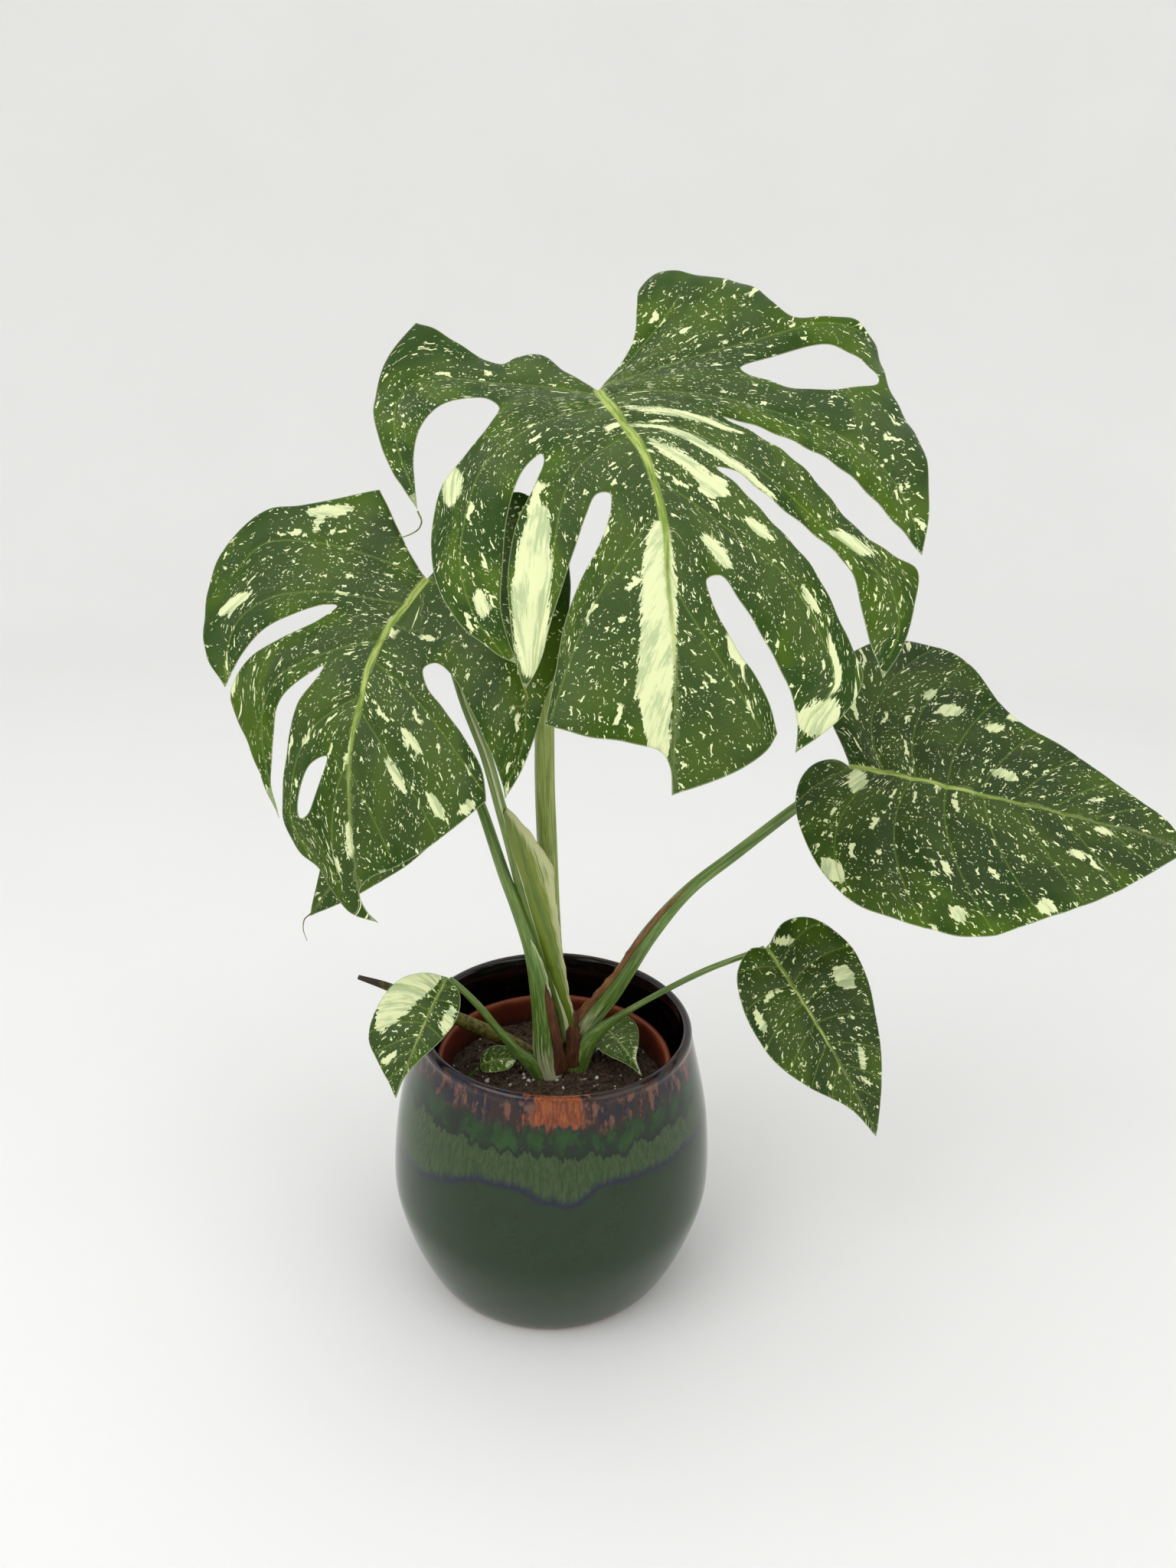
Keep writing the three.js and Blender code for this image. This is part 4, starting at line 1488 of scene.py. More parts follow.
@dataclass
class NurseryPot:
    """Thin plastic pot with a folded rim, in millimetres."""

    rim_radius: float = 85.0
    rim_height: float = 168.0
    rim_depth: float = 10.0
    foot_radius: float = 68.0
    wall: float = 1.6
    bottom: float = 9.3
    neck_step: float = 3.2
    sides: int = 160

    def neck_radius(self) -> float:
        """Returns the outer radius just below the rim."""
        return self.rim_radius - self.neck_step

    def inner_radius(self, height: float) -> float:
        """Returns the inside radius at a height."""
        rise = (height - self.bottom) / (self.rim_height - self.rim_depth - self.bottom)
        return self.foot_radius + (self.neck_radius() - self.foot_radius) * rise - self.wall

    def build(self) -> list[Piece]:
        """Builds and dresses the pot.

        Returns:
            The one object.
        """
        top, rim = self.rim_height, self.rim_radius
        neck, inner = top - self.rim_depth, self.neck_radius() - self.wall
        skirt = [(rim, neck + 0.8), (rim + 0.1, neck + 2), (rim, top - 2), (rim - 0.5, top - 0.6)]
        fold = [(rim - 1.4, top), (inner + 1.6, top), (inner + 0.6, top - 0.8), (inner + 0.2, top - 3)]
        taper_out = [(self.inner_radius(z) + self.wall, z) for z in np.linspace(self.bottom + 3, neck, 30)]
        taper_in = [(self.inner_radius(z), z) for z in np.linspace(neck - 4, self.bottom + self.wall + 2, 30)]
        floor = self.bottom + self.wall
        profile = [(0, self.bottom), (self.foot_radius - 1, self.bottom), *taper_out, (rim - 0.6, neck)]
        profile += [*skirt, *fold, (inner, neck), *taper_in, (self.foot_radius - 5, floor), (0, floor)]
        vertices, faces = turn(profile, self.sides, wobble=0.0008)
        plastic = PlasticFinish().material("nursery_plastic")
        piece = make_piece("nursery_pot_moulded", vertices, faces, [plastic])
        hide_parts("nursery_pot")
        return [piece]


@dataclass
class PottingSoil:
    """The root ball with a crumbly top, loose crumbs and perlite grains, in millimetres."""

    pot: NurseryPot
    edge_height: float = 148.0
    crown_height: float = 156.0
    bottom: float = 11.2
    gap: float = 0.3
    ring_gap: float = 1.1
    sides: int = 260
    crumbs: int = 2600
    grains: int = 130
    seed: int = 11

    CLODS = ((2.6, 17, 3.0), (1.6, 6.5, 9.0), (1.0, 2.6, 5.0))
    CLOD_DEPTH = 1.4

    def surface(self, x: np.ndarray, y: np.ndarray) -> np.ndarray:
        """The soil's mounded top with its clods.

        Args:
            x: Places to the right.
            y: Places to the back.

        Returns:
            The height at each place.
        """
        edge = self.pot.inner_radius(self.edge_height)
        share = np.minimum(np.hypot(x, y) / edge, 1.0)
        mound = self.edge_height + (self.crown_height - self.edge_height) * (1 - share**2)
        clods = [
            sum(size * noise.noise(Vector((a / span, b / span, layer))) for size, span, layer in self.CLODS)
            for a, b in zip(x.ravel(), y.ravel())
        ]
        return mound - self.CLOD_DEPTH + np.array(clods).reshape(np.shape(x))

    def build(self) -> list[Piece]:
        """Builds the soil, its crumbs and its perlite.

        Returns:
            The three objects.
        """
        edge = self.pot.inner_radius(self.edge_height) - self.gap
        rings = [circle(self.pot.inner_radius(self.bottom) - self.gap, self.sides, self.bottom)]
        for radius in np.arange(edge, 1.0, -self.ring_gap):
            ring = circle(radius, self.sides, 0.0)
            ring[:, 2] = self.surface(ring[:, 0], ring[:, 1])
            rings.append(ring)
        faces = tube_faces(len(rings), self.sides)
        soil = make_piece("soil_ball", np.vstack(rings), faces, [SoilFinish().material("soil")])
        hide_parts("potting_soil")
        rng = np.random.default_rng(self.seed)
        crumbs = self.scatter("soil_crumbs", self.crumbs, (0.4, 2.2), rng, SoilFinish())
        grains = self.scatter("perlite", self.grains, (0.6, 1.9), rng, PerliteFinish())
        return [soil, crumbs, grains]

    def scatter(self, name: str, count: int, sizes: Point, rng: np.random.Generator, finish: Finish) -> Piece:
        """Strews rough little lumps over the soil.

        Args:
            name: The piece's name.
            count: Number of lumps.
            sizes: Least and greatest radius.
            rng: Source of random numbers.
            finish: Their finish.

        Returns:
            One object with all of them.
        """
        mesh = bmesh.new()
        bmesh.ops.create_icosphere(mesh, subdivisions=1, radius=1.0)
        unit = np.array([tuple(v.co) for v in mesh.verts])
        triangles = [tuple(v.index for v in f.verts) for f in mesh.faces]
        mesh.free()
        reach = self.pot.inner_radius(self.edge_height) - 3
        vertices, faces = [], []
        for k in range(count):
            radius = reach * math.sqrt(rng.uniform(0.0, 1.0))
            turn_angle = rng.uniform(0, 2 * math.pi)
            x, y = radius * math.cos(turn_angle), radius * math.sin(turn_angle)
            size = sizes[0] + (sizes[1] - sizes[0]) * rng.uniform() ** 2.2
            shape = rng.uniform(0.55, 1.25, 3) * size
            lump = unit * shape * rng.uniform(0.78, 1.2, (len(unit), 1))
            spin = np.array(Matrix.Rotation(rng.uniform(0, math.pi), 3, Vector(rng.normal(size=3))))
            height = float(self.surface(np.array([x]), np.array([y]))[0])
            faces += [tuple(i + k * len(unit) for i in t) for t in triangles]
            vertices.append(lump @ spin.T + (x, y, height + 0.25 * size))
        piece = make_piece(name, np.vstack(vertices), faces, [finish.material(name)])
        piece.data.shade_flat()
        return piece


# ---- the plant


def top_leaf() -> LeafBlade:
    """The large split leaf at the top.

    Returns:
        The blade.
    """
    return LeafBlade(
        node="leaf_top",
        junction=(16, 30, 625),
        tip=(58, -154, 432),
        face=(0, -0.72, 0.69),
        arch=22,
        droop=0.045,
        rib_width=6.0,
        ripple=1.3,
        margin=[
            [(0, 0), (-18, -16), (-38, -32), (-38, -46), (-34, -56), (-44, -73), (-60, -92), (-70, -106)],
            [(-70, -106), (-44, -128), (-10, -137), (25, -135), (60, -127), (91, -116)],
            [(91, -116), (68, -116), (42, -115), (20, -108), (4, -95), (-2, -80), (0, -69), (9, -62),
             (25, -69), (45, -83), (70, -98), (95, -107), (120, -111), (145, -109), (168, -100), (184, -84),
             (192, -72)],
            [(192, -72), (165, -77), (133, -73), (105, -68), (80, -60), (60, -50), (53, -42), (60, -41),
             (80, -49), (110, -64), (140, -71), (170, -73), (192, -72.5), (207, -70)],
            [(207, -70), (190, -59), (170, -51), (150, -42), (128, -33), (106, -23), (93, -15), (93, -8),
             (104, -9), (125, -18), (150, -33), (175, -45), (200, -53), (216, -58), (227, -62)],
            [(227, -62), (236, -41), (242, -20), (248, -3), (256, 1), (270, 0)],
            [(270, 0), (267, 16), (260, 40), (253, 54), (246, 60)],
            [(246, 60), (222, 56), (190, 44), (168, 37), (155, 37), (154, 44), (168, 51), (192, 61),
             (222, 69), (242, 71), (257, 68)],
            [(257, 68), (248, 86), (236, 102), (220, 112), (198, 109), (160, 97), (125, 81), (98, 66),
             (81, 56), (84, 63), (104, 79), (132, 102), (158, 117), (190, 120), (222, 123)],
            [(222, 123), (205, 138), (183, 149), (163, 154), (150, 142), (132, 130), (104, 116), (72, 97),
             (48, 78), (39, 69), (44, 79), (60, 103), (85, 126), (118, 146), (154, 159)],
            [(154, 159), (125, 172), (85, 181), (48, 181), (18, 178), (-10, 183), (-32, 185), (-47, 176),
             (-50, 160), (-51, 140), (-60, 128), (-78, 118), (-88, 102), (-90, 86), (-98, 66), (-99, 52),
             (-87, 40), (-68, 35), (-46, 30), (-22, 16), (0, 0)],
        ],
        holes=[[(-6, 90), (-20, 112), (-29, 142), (-24, 160), (-6, 171), (18, 171), (20, 150), (16, 122),
                (5, 100)]],
        midrib=[(0, 0), (28, 7), (61, 16), (93, 19), (123, 19), (156, 15), (195, 12), (239, 6), (270, 0)],
        left_veins=[
            [(4, -3), (-6, -28), (-14, -55), (-22, -83), (-26, -107), (-8, -122), (28, -125), (66, -119),
             (84, -116)],
            [(19, -3), (24, -28), (38, -55), (61, -76), (95, -89), (132, -96), (165, -91), (186, -79)],
            [(49, 5), (66, -19), (89, -33), (118, -42), (148, -49), (175, -58), (197, -64)],
            [(112, 14), (127, 0), (151, -18), (177, -35), (202, -48), (224, -58)],
        ],
        right_veins=[
            [(-3, 1), (-33, 29), (-50, 45), (-64, 56), (-77, 65)],
            [(-4, 2), (-14, 34), (-23, 64), (-31, 95), (-41, 126), (-46, 158), (-38, 179)],
            [(6, 4), (6, 30), (14, 57), (26, 82), (40, 106), (56, 130), (82, 150), (116, 161), (144, 161)],
            [(35, 12), (41, 37), (56, 56), (75, 71), (101, 91), (128, 109), (151, 126), (174, 138),
             (195, 138), (210, 129)],
            [(84, 20), (98, 33), (118, 49), (131, 59), (159, 80), (195, 93), (222, 95), (241, 78),
             (250, 72)],
            [(144, 17), (169, 22), (195, 33), (220, 43), (242, 51)],
        ],
        splashes=[
            Splash([(118, 16), (150, 11), (185, 5), (220, -3), (250, -4)], 10),
            Splash([(100, -48), (128, -55), (160, -61), (196, -66)], 10),
            Splash([(22, 12), (28, 27), (34, 45), (42, 60), (56, 77)], 2.6),
            Splash([(37, 13), (42, 28), (54, 45), (70, 58), (90, 72), (108, 84)], 3.2),
            Splash([(56, 22), (70, 36), (86, 46), (100, 56)], 4.5),
            Splash([(90, 46), (101, 56)], 8),
            Splash([(128, 39), (141, 46), (151, 50)], 3.5),
            Splash([(132, 113), (141, 124), (150, 131)], 4),
            Splash([(240, 72), (243, 82), (234, 92)], 8),
            Splash([(62, -93), (76, -95), (90, -98)], 5),
            Splash([(150, -88), (164, -86)], 4),
            Splash([(176, 45), (196, 53)], 3),
            Splash([(168, 88), (182, 94)], 3),
            Splash([(120, 66), (136, 76)], 3.4),
        ],
        threads=[
            [(90, -116, 0), (97, -114.5, -1), (101.5, -117, -2), (104.5, -126, -3), (102.5, -133, -4)],
            [(206, -70, 0), (212, -69, -1), (215, -72, -2), (214, -78, -3)],
        ],
        seed=0.7,
    )


def left_leaf() -> LeafBlade:
    """The second split leaf, at the left.

    Returns:
        The blade.
    """
    return LeafBlade(
        node="leaf_left",
        junction=(-85.6, -20, 515.2),
        tip=(-108.6, -95, 321.1),
        face=(-0.28, -0.72, 0.62),
        arch=16,
        droop=0.03,
        rib_width=4.8,
        margin=[
            [(0, 0), (-19, -17), (-38, -31), (-54, -42)],
            [(-54, -42), (-49, -66), (-42, -98), (-38, -120), (-23, -137), (2, -147), (30, -147), (58, -137),
             (80, -117)],
            [(80, -117), (58, -110), (40, -100), (29, -82), (22, -62), (22, -53), (31, -63), (45, -87),
             (59, -104), (74, -111), (88, -112), (110, -99), (132, -84), (155, -68)],
            [(155, -68), (135, -76), (112, -79), (92, -80), (80, -75), (66, -60), (60, -51), (68, -54),
             (85, -65), (105, -68), (135, -67), (158, -64), (174, -53), (182, -40), (195, -30), (206, -18),
             (209, 0)],
            [(209, 0), (203, -8), (192, -13), (182, -5), (175, 8), (160, 31), (142, 52), (127, 66)],
            [(127, 66), (112, 62), (95, 50), (78, 33), (66, 19), (55, 13), (51, 20), (57, 33), (75, 49),
             (95, 62), (112, 72), (124, 77)],
            [(124, 77), (102, 86), (75, 92), (40, 96), (5, 95), (-28, 84), (-50, 66), (-57, 48), (-35, 27),
             (-12, 9), (0, 0)],
        ],
        holes=[[(114, -40), (128, -42), (150, -48), (153, -53), (138, -55), (120, -50)]],
        midrib=[(0, 0), (17, -7), (33, -15), (53, -21), (75, -23), (94, -24), (117, -25), (136, -22),
                (155, -19), (173, -16), (195, -12), (205, -6), (209, 0)],
        left_veins=[
            [(-2, -4), (-11, -36), (-18, -81), (-14, -118), (9, -134)],
            [(17, -7), (15, -37), (14, -71), (21, -102), (38, -120), (62, -121), (80, -116)],
            [(41, -17), (47, -41), (57, -63), (70, -82), (90, -89), (116, -85), (150, -70)],
            [(75, -23), (84, -37), (97, -51), (113, -59), (132, -61), (156, -59), (174, -47)],
            [(109, -25), (128, -30), (147, -32), (169, -31), (189, -24)],
        ],
        right_veins=[
            [(-2, 1), (-18, 18), (-34, 38), (-42, 56), (-40, 68)],
            [(1, 1), (6, 30), (22, 56), (51, 75), (77, 83), (101, 82), (118, 76)],
            [(53, -21), (66, 1), (83, 24), (101, 43), (117, 59), (125, 67)],
            [(83, -24), (103, -5), (123, 14), (139, 28), (152, 38)],
            [(120, -24), (140, -10), (157, 1), (169, 8)],
        ],
        splashes=[
            Splash([(58, 24), (70, 38), (82, 48)], 4),
            Splash([(-40, -60), (-38, -90)], 4),
            Splash([(-44, -78), (-26, -82)], 3),
            Splash([(70, -112), (84, -112)], 3),
            Splash([(110, 0), (128, 14)], 3),
            Splash([(128, 30), (140, 42)], 3.4),
            Splash([(120, -70), (134, -70)], 2.4),
            Splash([(150, -22), (172, -18)], 2.6),
            Splash([(92, 8), (104, 22)], 2.6),
            Splash([(20, -118), (34, -132)], 4),
            Splash([(128, 60), (136, 52)], 3),
        ],
        finish=LeafFinish(sheen_and_mottle_amount=0.7),
        seed=1.9,
    )


def right_leaf() -> LeafBlade:
    """The large whole leaf at the right.

    Returns:
        The blade.
    """
    return LeafBlade(
        node="leaf_right",
        junction=(193, 10, 392.6),
        tip=(392.9, -60, 366.2),
        face=(0.1, -0.62, 0.78),
        arch=14,
        keel=0.04,
        droop=0.04,
        rib_width=3.2,
        margin=[
            [(0, 0), (-11, 3), (-22, -2), (-29, -16), (-28, -36), (-18, -60), (2, -87), (30, -105),
             (65, -111), (104, -106), (131, -88), (163, -59), (190, -29), (213, 0)],
            [(213, 0), (200, 14), (174, 27), (140, 42), (108, 56), (83, 73), (60, 97), (34, 115), (8, 119),
             (-15, 108), (-28, 84), (-29, 58), (-22, 36), (-10, 16), (0, 0)],
        ],
        midrib=[(0, 0), (41, -4), (89, -7), (137, -5), (186, -1), (213, 0)],
        splashes=[
            Splash([(4, -4), (8, -12), (6, -20)], 5.5),
            Splash([(46, 55), (60, 57)], 5),
            Splash([(77, 47), (88, 50)], 4),
            Splash([(88, 14), (103, 11)], 4),
            Splash([(2, -78), (14, -90)], 6),
            Splash([(34, 66), (41, 72)], 3.6),
            Splash([(82, -96), (90, -98)], 5),
            Splash([(130, -78), (138, -76)], 5),
            Splash([(142, -33), (152, -33)], 3),
            Splash([(156, -9), (165, -8)], 3),
        ],
        finish=LeafFinish(sheen_and_mottle_grey=(0.040, 0.063, 0.019), deep=(0.017, 0.046, 0.003)),
        seed=3.1,
    )


def young_leaves() -> list[LeafBlade]:
    """The whole leaves lower down, from the largest to the first leaves above the soil.

    Returns:
        The blades.
    """
    return [
        LeafBlade(
            node="leaf_low_right",
            junction=(147.1, 0, 259),
            tip=(228.2, -45, 135.9),
            face=(0.15, -0.75, 0.65),
            arch=8,
            rib_width=1.8,
            cell=1.8,
            ripple=0.7,
            margin=[
                [(0, 0), (-6, -11), (3, -30), (30, -42), (62, -42), (92, -30), (125, -9), (154, 0)],
                [(154, 0), (128, 19), (95, 37), (60, 50), (28, 53), (0, 41), (-8, 22), (0, 0)],
            ],
            splashes=[
                Splash([(38, 34), (54, 38)], 7),
                Splash([(30, -34), (44, -36)], 3),
                Splash([(92, 20), (108, 14)], 2.6),
                Splash([(0, 8), (6, 20)], 3),
            ],
            finish=LeafFinish(sheen_and_mottle_grey=(0.042, 0.066, 0.018), deep=(0.017, 0.046, 0.003), large=FEW_BLOTCHES),
            seed=4.3,
        ),
        LeafBlade(
            node="leaf_low_left",
            junction=(-76, 45, 386),
            tip=(-175, 15, 268),
            face=(-0.3, -0.7, 0.6),
            arch=8,
            rib_width=1.8,
            cell=1.9,
            ripple=0.6,
            margin=[
                [(0, 0), (-12, -14), (-6, -32), (16, -46), (46, -48), (80, -38), (110, -24), (134, -12),
                 (157, 0)],
                [(157, 0), (138, 12), (112, 26), (80, 38), (48, 42), (18, 36), (-2, 20), (0, 0)],
            ],
            threads=[[(155, 0, 0), (163, -3, -2), (170, -1, -5), (175, 4, -9)]],
            seed=5.2,
        ),
        LeafBlade(
            node="leaf_small_left",
            junction=(-74.9, -25, 244.7),
            tip=(-105.3, -70, 177.7),
            face=(-0.2, -0.7, 0.68),
            arch=5,
            rib_width=1.0,
            cell=1.4,
            ripple=0.4,
            margin=[
                [(0, 0), (3, -16), (14, -30), (37, -36), (57, -33), (70, -19), (80, -6), (86, 0)],
                [(86, 0), (72, 1), (56, 8), (40, 16), (22, 20), (7, 14), (0, 0)],
            ],
            splashes=[
                Splash([(1, -7), (12, -18), (28, -25), (46, -28)], 11),
                Splash([(18, 14), (34, 16)], 4.5),
            ],
            finish=LeafFinish(large=NO_BLOTCHES),
            seed=6.4,
        ),
        LeafBlade(
            node="leaf_seedling_right",
            junction=(37.4, 32, 172),
            tip=(62.3, -23.4, 168),
            face=(0, -0.25, 0.96),
            arch=4,
            keel=0.08,
            rib_width=0.9,
            cell=1.1,
            ripple=0.3,
            margin=[
                [(0, 0), (-6, -2), (-2, -11), (20, -18), (34, -15), (48, -6), (61, 0)],
                [(61, 0), (46, 3), (32, 12), (13, 20), (-7, 19), (-9, 8), (0, 0)],
            ],
            splashes=[Splash([(36, 8), (48, 3), (58, 1)], 2.2)],
            finish=LeafFinish(large=NO_BLOTCHES),
            seed=7.7,
        ),
        LeafBlade(
            node="leaf_seedling_left",
            junction=(-53.3, -11.5, 166),
            tip=(-26.5, -11.6, 172),
            face=(0, -0.3, 0.95),
            arch=3,
            rib_width=0.7,
            cell=0.9,
            ripple=0.3,
            margin=[
                [(0, 0), (2, -7), (11, -11), (22, -9), (27, 0)],
                [(27, 0), (22, 9), (10, 12), (1, 8), (0, 0)],
            ],
            splashes=[Splash([(20, -7), (25, -2)], 2.0)],
            finish=LeafFinish(large=NO_BLOTCHES),
            seed=8.9,
        ),
    ]


def grown_stalks() -> list[Stalk]:
    """The stem and the stalks.

    Returns:
        One stalk for each.
    """
    pale = StalkFinish(
        ground=(0.160, 0.230, 0.026), light=(0.270, 0.345, 0.060), stripe=(0.46, 0.53, 0.15),
        stripes=0.6, blush=(0.12, 0.18, 0.03),
    )
    front = StalkFinish(ground=(0.090, 0.170, 0.020), light=(0.170, 0.260, 0.045))
    earthy = StalkFinish(ground=(0.06, 0.06, 0.015), light=(0.13, 0.10, 0.03), blush=(0.05, 0.025, 0.01))
    return [
        Stalk(
            "main_stem_skin",
            [(0, 9, 112, 9), (0, 9, 130, 14, 13, 13), (1, 9, 152, 13, 12, 12), (2, 9, 172, 9, 8, 8),
             (2, 10, 186, 7, 5, 5)],
            finish=earthy,
            slot="stem",
            replaces="main_stem",
            spacing=2.0,
        ),
        Stalk(
            "left_leaf_stalk",
            [(8, 6, 178, 7, 6, 5), (5, 3, 200, 7.5, 6, 5), (-4, 1, 232, 7, 6, 5), (-14, 0, 265, 6.4, 6, 5),
             (-24, 0, 300, 5.6, 5.4, 5), (-32, 0, 330, 4.6), (-40, 1, 358, 4), (-50, -2, 397, 3.8),
             (-64, -5, 437, 3.6), (-78, -8, 488, 3.3), (-85, -16, 512.5, 3.6)],
            front=(-0.3, -1, 0.1),
            finish=front,
            replaces="stalk_left_leaf",
            ridges=0.05,
            top_pale=0.3,
            base_pale=0.3,
            pale_line=0.8,
        ),
        Stalk(
            "low_left_leaf_stalk",
            [(-2, -5, 154, 9, 8, 4), (-7, -8, 176, 8.6, 8, 4), (-9, -8, 200, 7.6, 7, 4),
             (-12, -9, 225, 6.5, 6, 4), (-18, -9, 257, 5, 5, 4), (-28, -6, 287, 4.2), (-38, 0, 312, 4),
             (-53, 15, 350, 3.6), (-65, 36, 370, 3.2), (-72, 47, 381, 3)],
            front=(-0.4, -1, 0.2),
            replaces="stalk_low_left_leaf",
            ridges=0.06,
            base_pale=0.8,
        ),
        Stalk(
            "right_leaf_stalk",
            [(14, 14, 168, 9, 7, 4), (24, 15, 187, 8, 7, 4), (40, 14, 212, 7, 6.5, 4),
             (66, 13, 262, 6, 6, 4), (91, 12, 297, 4.4), (121, 12, 325, 4), (150, 12, 352, 3.7),
             (174, 12, 374, 3.4), (190.5, 14.5, 389, 3.6)],
            front=(0, -1, 0.4),
            replaces="stalk_right_leaf",
            ridges=0.05,
            base_pale=0.7,
            top_pale=0.4,
        ),
        Stalk(
            "low_right_leaf_stalk",
            [(15, 1, 152, 9, 5, 3), (19, 2, 167, 8.5, 4.5, 3), (28, 4, 182, 5.5, 3.5, 3), (50, 5, 201, 2.6),
             (104, 4, 237, 2.2), (136, 4, 252, 2), (146, 4, 256.5, 2.1)],
            front=(0.3, -1, 0.4),
            replaces="stalk_low_right_leaf",
            ridges=0.04,
            top_pale=0.5,
        ),
        Stalk(
            "small_left_leaf_stalk",
            [(-9, -8, 153, 6, 4, 3), (-17, -11, 168, 6, 4, 2), (-26, -13, 178, 3.8, 3.2, 2.8),
             (-40, -16, 198, 2.8), (-53, -19, 218, 2.6), (-66, -21, 234, 2.2), (-73, -21.5, 241, 2)],
            front=(-0.3, -1, 0.5),
            replaces="stalk_small_left_leaf",
        ),
        Stalk(
            "top_leaf_stalk",
            [(3, 21, 184, 5, 4, 4), (0, 23, 215, 6, 5, 5), (-4, 25, 252, 6.6, 6, 6),
             (-8, 29, 306, 7, 6.6, 6.6), (-12, 35, 378, 6.8, 6.4, 6.4), (-12, 42, 457, 6),
             (-7, 45, 514, 5.4), (2, 43, 563, 4.8), (11, 38, 602, 4.4), (15.5, 33.5, 621, 4.8)],
            finish=pale,
            slot="pale_stalk",
            replaces="stalk_top_leaf",
            ridges=0.07,
        ),
        Stalk(
            "withered_stalk_skin",
            [(-16, 20, 155, 4.5), (-37, 20, 167, 5, 4.6, 4.6), (-59, 15, 181, 5, 4.6, 4.6),
             (-72, 11, 190, 4.6, 4, 4), (-93, 4, 205, 4, 3, 3), (-118, -2, 222, 3, 2.2, 2.2),
             (-138, -8, 233, 1.6, 1.2, 1.2)],
            front=(0, -1, 0.5),
            finish=WitheredFinish(),
            slot="withered",
            replaces="withered_stalk",
            ridges=0.08,
            top_pale=0.9,
            spacing=2.0,
        ),
        Stalk(
            "right_seedling_stalk",
            [(44, 30, 150, 1.6), (42, 34, 160, 1.5), (39, 34.5, 169, 1.3)],
            front=(0, -1, 0.5),
            replaces="stalk_seedling_right",
            sides=16,
            spacing=1.5,
        ),
        Stalk(
            "left_seedling_stalk",
            [(-64, -10, 147, 1.4), (-60, -12, 156, 1.3), (-54.5, -13, 163, 1.2)],
            front=(0, -1, 0.5),
            replaces="stalk_seedling_left",
            sides=16,
            spacing=1.5,
        ),
    ]


def leaf_sheaths() -> list[SheathWing]:
    """The green sheaths and the dried ones.

    Returns:
        One wing for each.
    """
    fresh = StalkFinish(
        ground=(0.095, 0.165, 0.008), light=(0.190, 0.250, 0.016), stripes=0.12, cream=(0.56, 0.58, 0.28),
    )
    papery = PaperyFinish()
    tan = PaperyFinish(dark=(0.110, 0.040, 0.014), light=(0.380, 0.190, 0.060), shadowing=0.2)
    return [
        SheathWing(
            "left_leaf_sheath",
            inner=[(6, 1, 192), (-6, -3, 232), (-16, -4, 265), (-27, -3, 300), (-35, -2, 330),
                   (-40, -1, 356)],
            outer=[(16, 4, 190), (9.5, 2, 217), (5, 1, 244), (1, 0, 270), (-3, 0, 301), (-5, 0, 318),
                   (-14, -1, 334), (-20, -1, 343), (-28, -1, 352), (-36, -1, 361)],
            bulge=(1.5, -7, 1),
            finish=fresh,
            slot="pale_stalk",
            pale_margin=0.8,
        ),
        SheathWing(
            "low_left_leaf_sheath",
            inner=[(-6, -14, 170), (-9, -14, 200), (-14, -14, 232), (-19, -13, 262)],
            outer=[(4, -9, 172), (0, -10, 205), (-6, -11, 236), (-12, -12, 256), (-18.5, -13, 269)],
            bulge=(0.5, -2.2, 0.3),
            finish=StalkFinish(),
            slot="stalk",
            pale_margin=0.5,
            rows=60,
            columns=10,
        ),
        SheathWing(
            "right_leaf_dry_sheath",
            inner=[(17, 8, 189), (27, 8, 205), (43, 8, 229), (60, 8, 259), (77, 8, 284), (91, 9, 299)],
            outer=[(10, 8, 194), (22.5, 7, 209), (39.5, 7, 232.5), (57, 7, 262), (75, 8, 286.5),
                   (90, 9, 300.5)],
            bulge=(-0.6, -1.6, 1.0),
            finish=tan,
            slot="dry_sheath",
            replaces="dry_sheath_right",
            rows=80,
            columns=12,
            ragged=0.45,
        ),
        SheathWing(
            "low_left_leaf_dry_sheath",
            inner=[(0, -13, 158), (-1, -15, 184), (-6, -14.5, 212), (-10, -13, 240)],
            outer=[(10, -7, 160), (5, -9, 186), (-1, -10, 214), (-9, -12, 243)],
            bulge=(1.2, -2.0, 0.2),
            finish=papery,
            slot="dry_sheath",
            replaces="dry_sheath_front",
            rows=60,
            columns=10,
            ragged=0.4,
        ),
        SheathWing(
            "stem_dry_sheath",
            inner=[(6, -4, 160), (8, -3, 178), (7, -1, 198), (5, 1, 212)],
            outer=[(20, 2, 160), (19, 3, 176), (16, 4, 196), (10, 5, 210)],
            bulge=(2.5, -4.0, 0.5),
            finish=papery,
            slot="dry_sheath",
            replaces="dry_sheath_stem",
            rows=60,
            columns=12,
            ragged=0.6,
        ),
    ]


@dataclass
class Crown:
    """The stem and every stalk and sheath that grows from it."""

    stalks: list[Stalk] = field(default_factory=grown_stalks)
    sheaths: list[SheathWing] = field(default_factory=leaf_sheaths)

    def build(self) -> list[Piece]:
        """Builds the stem, the stalks and the sheaths, in that order."""
        return [part.build() for part in (*self.stalks, *self.sheaths)]


# ---- studio


@dataclass(frozen=True)
class BackdropFinish:
    """Matt off-white paper."""

    paper: Colour = (0.86, 0.86, 0.85)
    shade: Colour = (0.82, 0.82, 0.81)

    def material(self, name: str) -> Material:
        """Makes the backdrop's material.

        Args:
            name: The material's name.

        Returns:
            The material.
        """
        shader = Shader(name)
        tone = shader.noise(shader.place(), 3.0, 2.0)
        return shader.surface(shader.mix(tone, self.paper, self.shade), 0.85)


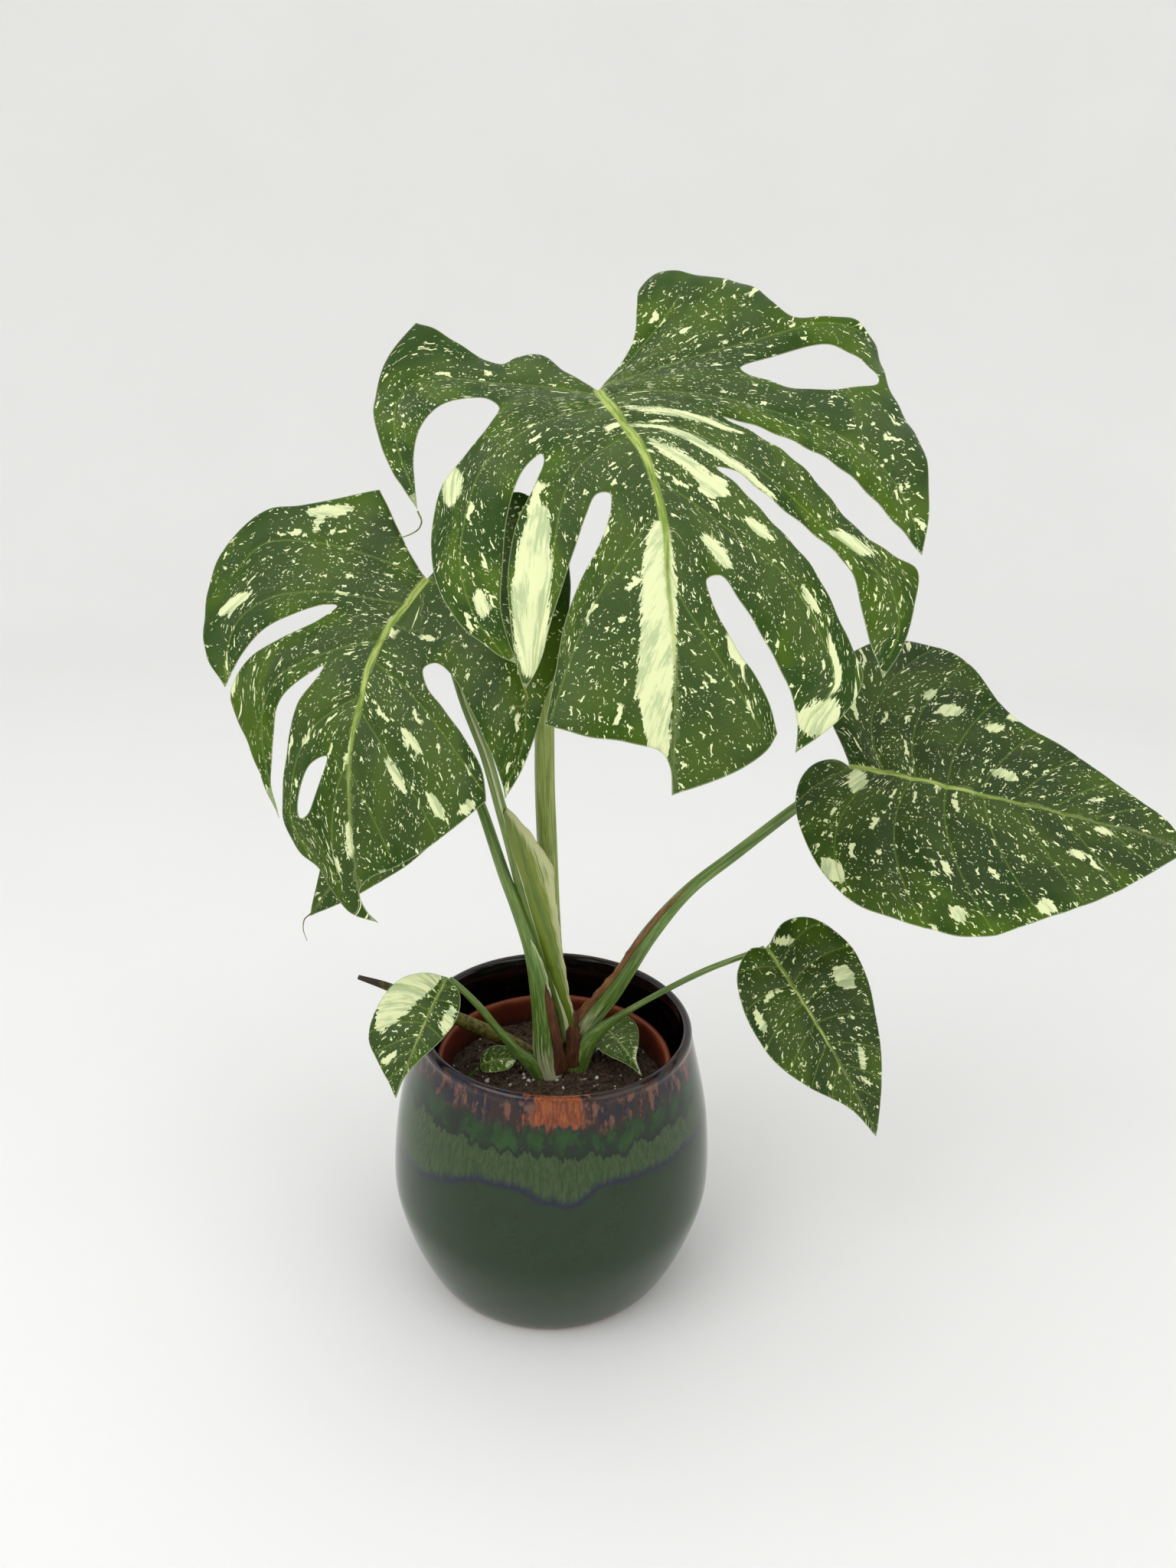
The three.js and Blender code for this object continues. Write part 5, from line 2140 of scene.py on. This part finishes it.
@dataclass(frozen=True)
class SoftLamp:
    """A square area light."""

    name: str
    place: Point
    target: Point
    size: float
    power: float

    def hang(self) -> None:
        """Adds the light, out of the camera's sight."""
        data = bpy.data.lights.new(self.name, "AREA")
        data.size = self.size
        data.energy = self.power
        lamp = bpy.data.objects.new(self.name, data)
        lamp.visible_camera = False
        bpy.context.scene.collection.objects.link(lamp)
        lamp.location = self.place
        lamp.rotation_euler = (Vector(self.target) - Vector(self.place)).to_track_quat("-Z", "Y").to_euler()


@dataclass
class Studio:
    """Camera, soft lights and a pale round floor that curves up into a wall. Angles are in degrees."""

    camera_place: Point = (0.0, -0.7287, 0.6546)
    pitch: float = 20.76
    roll: float = 2.0
    yaw: float = 1.37
    lens: float = 27.02
    wall_radius: float = 2.9
    wall_height: float = 3.2
    wall_sides: int = 96
    cove_radius: float = 1.0
    cove_steps: int = 20
    floor_gap: float = 0.0002
    sky: float = 1.0
    lamps: tuple[SoftLamp, ...] = (
        SoftLamp("key_light", (-1.3, -1.1, 1.9), (0.0, 0.0, 0.35), 1.5, 16.5),
        SoftLamp("fill_light", (1.6, -1.2, 1.3), (0.0, 0.0, 0.35), 1.6, 8.0),
        SoftLamp("top_light", (0.1, -0.1, 2.2), (0.0, 0.0, 0.3), 1.4, 3.0),
    )

    def build(self) -> list[Piece]:
        """Sets up the studio.

        Returns:
            The backdrop.
        """
        self.camera()
        backdrop = self.backdrop()
        for lamp in self.lamps:
            lamp.hang()
        self.daylight()
        return [backdrop]

    def daylight(self) -> None:
        """Lights the scene evenly from all round."""
        world = bpy.data.worlds.new("soft_daylight")
        world.use_nodes = True
        sky = world.node_tree.nodes["Background"]
        sky.inputs["Color"].default_value = (1.0, 1.0, 1.0, 1.0)
        sky.inputs["Strength"].default_value = self.sky
        bpy.context.scene.world = world
        bpy.context.scene.view_settings.view_transform = "Standard"

    def camera(self) -> None:
        """Places the camera, which looks down on the plant."""
        pitch, roll, yaw = (math.radians(a) for a in (self.pitch, self.roll, self.yaw))
        level = math.cos(pitch)
        ahead = Vector((math.sin(yaw) * level, math.cos(yaw) * level, -math.sin(pitch)))
        right = ahead.cross(Vector((0, 0, 1))).normalized()
        up = right.cross(ahead)
        turned_right = right * math.cos(roll) + up * math.sin(roll)
        turned_up = up * math.cos(roll) - right * math.sin(roll)
        data = bpy.data.cameras.new("camera")
        data.lens = self.lens
        camera = bpy.data.objects.new("camera", data)
        bpy.context.scene.collection.objects.link(camera)
        axes = Matrix((turned_right, turned_up, -ahead)).transposed()
        camera.matrix_world = Matrix.Translation(self.camera_place) @ axes.to_4x4()
        bpy.context.scene.camera = camera

    def backdrop(self) -> Piece:
        """A round floor that sweeps up into a wall all the way round.

        Returns:
            The object.
        """
        cove, flat = self.cove_radius, self.wall_radius - self.cove_radius
        profile = [(flat * share, 0.0) for share in (0.1, 0.5, 1.0)]
        for angle in np.linspace(0.08, math.pi / 2, self.cove_steps):
            profile.append((flat + cove * math.sin(angle), cove - cove * math.cos(angle)))
        profile.append((self.wall_radius, self.wall_height))
        rings = [circle(radius, self.wall_sides, height - self.floor_gap) for radius, height in profile]
        walls = [face[::-1] for face in ring_faces(len(profile), self.wall_sides)]
        mesh = bpy.data.meshes.new("backdrop")
        mesh.from_pydata(np.vstack(rings).tolist(), [], [tuple(range(self.wall_sides)), *walls])
        mesh.materials.append(BackdropFinish().material("backdrop"))
        mesh.shade_smooth()
        sweep = bpy.data.objects.new("backdrop", mesh)
        bpy.context.scene.collection.objects.link(sweep)
        return sweep


# ---- assembly


class Part(Protocol):
    """A sub-assembly that builds its own pieces."""

    def build(self) -> list[Piece]:
        """Builds the pieces and returns them."""


def main() -> None:
    """Builds the pots, the soil, the plant and the studio, and reports each piece."""
    logging.basicConfig(level=logging.INFO, format="%(message)s")
    nursery = NurseryPot()
    leaves = (top_leaf(), left_leaf(), right_leaf(), *young_leaves())
    parts: tuple[Part, ...] = (GlazedPot(), nursery, PottingSoil(nursery), Crown(), *leaves, Studio())
    for part in parts:
        for piece in part.build():
            log.info("%s: %s", type(part).__name__, piece.name)


if __name__ == "__main__":
    main()
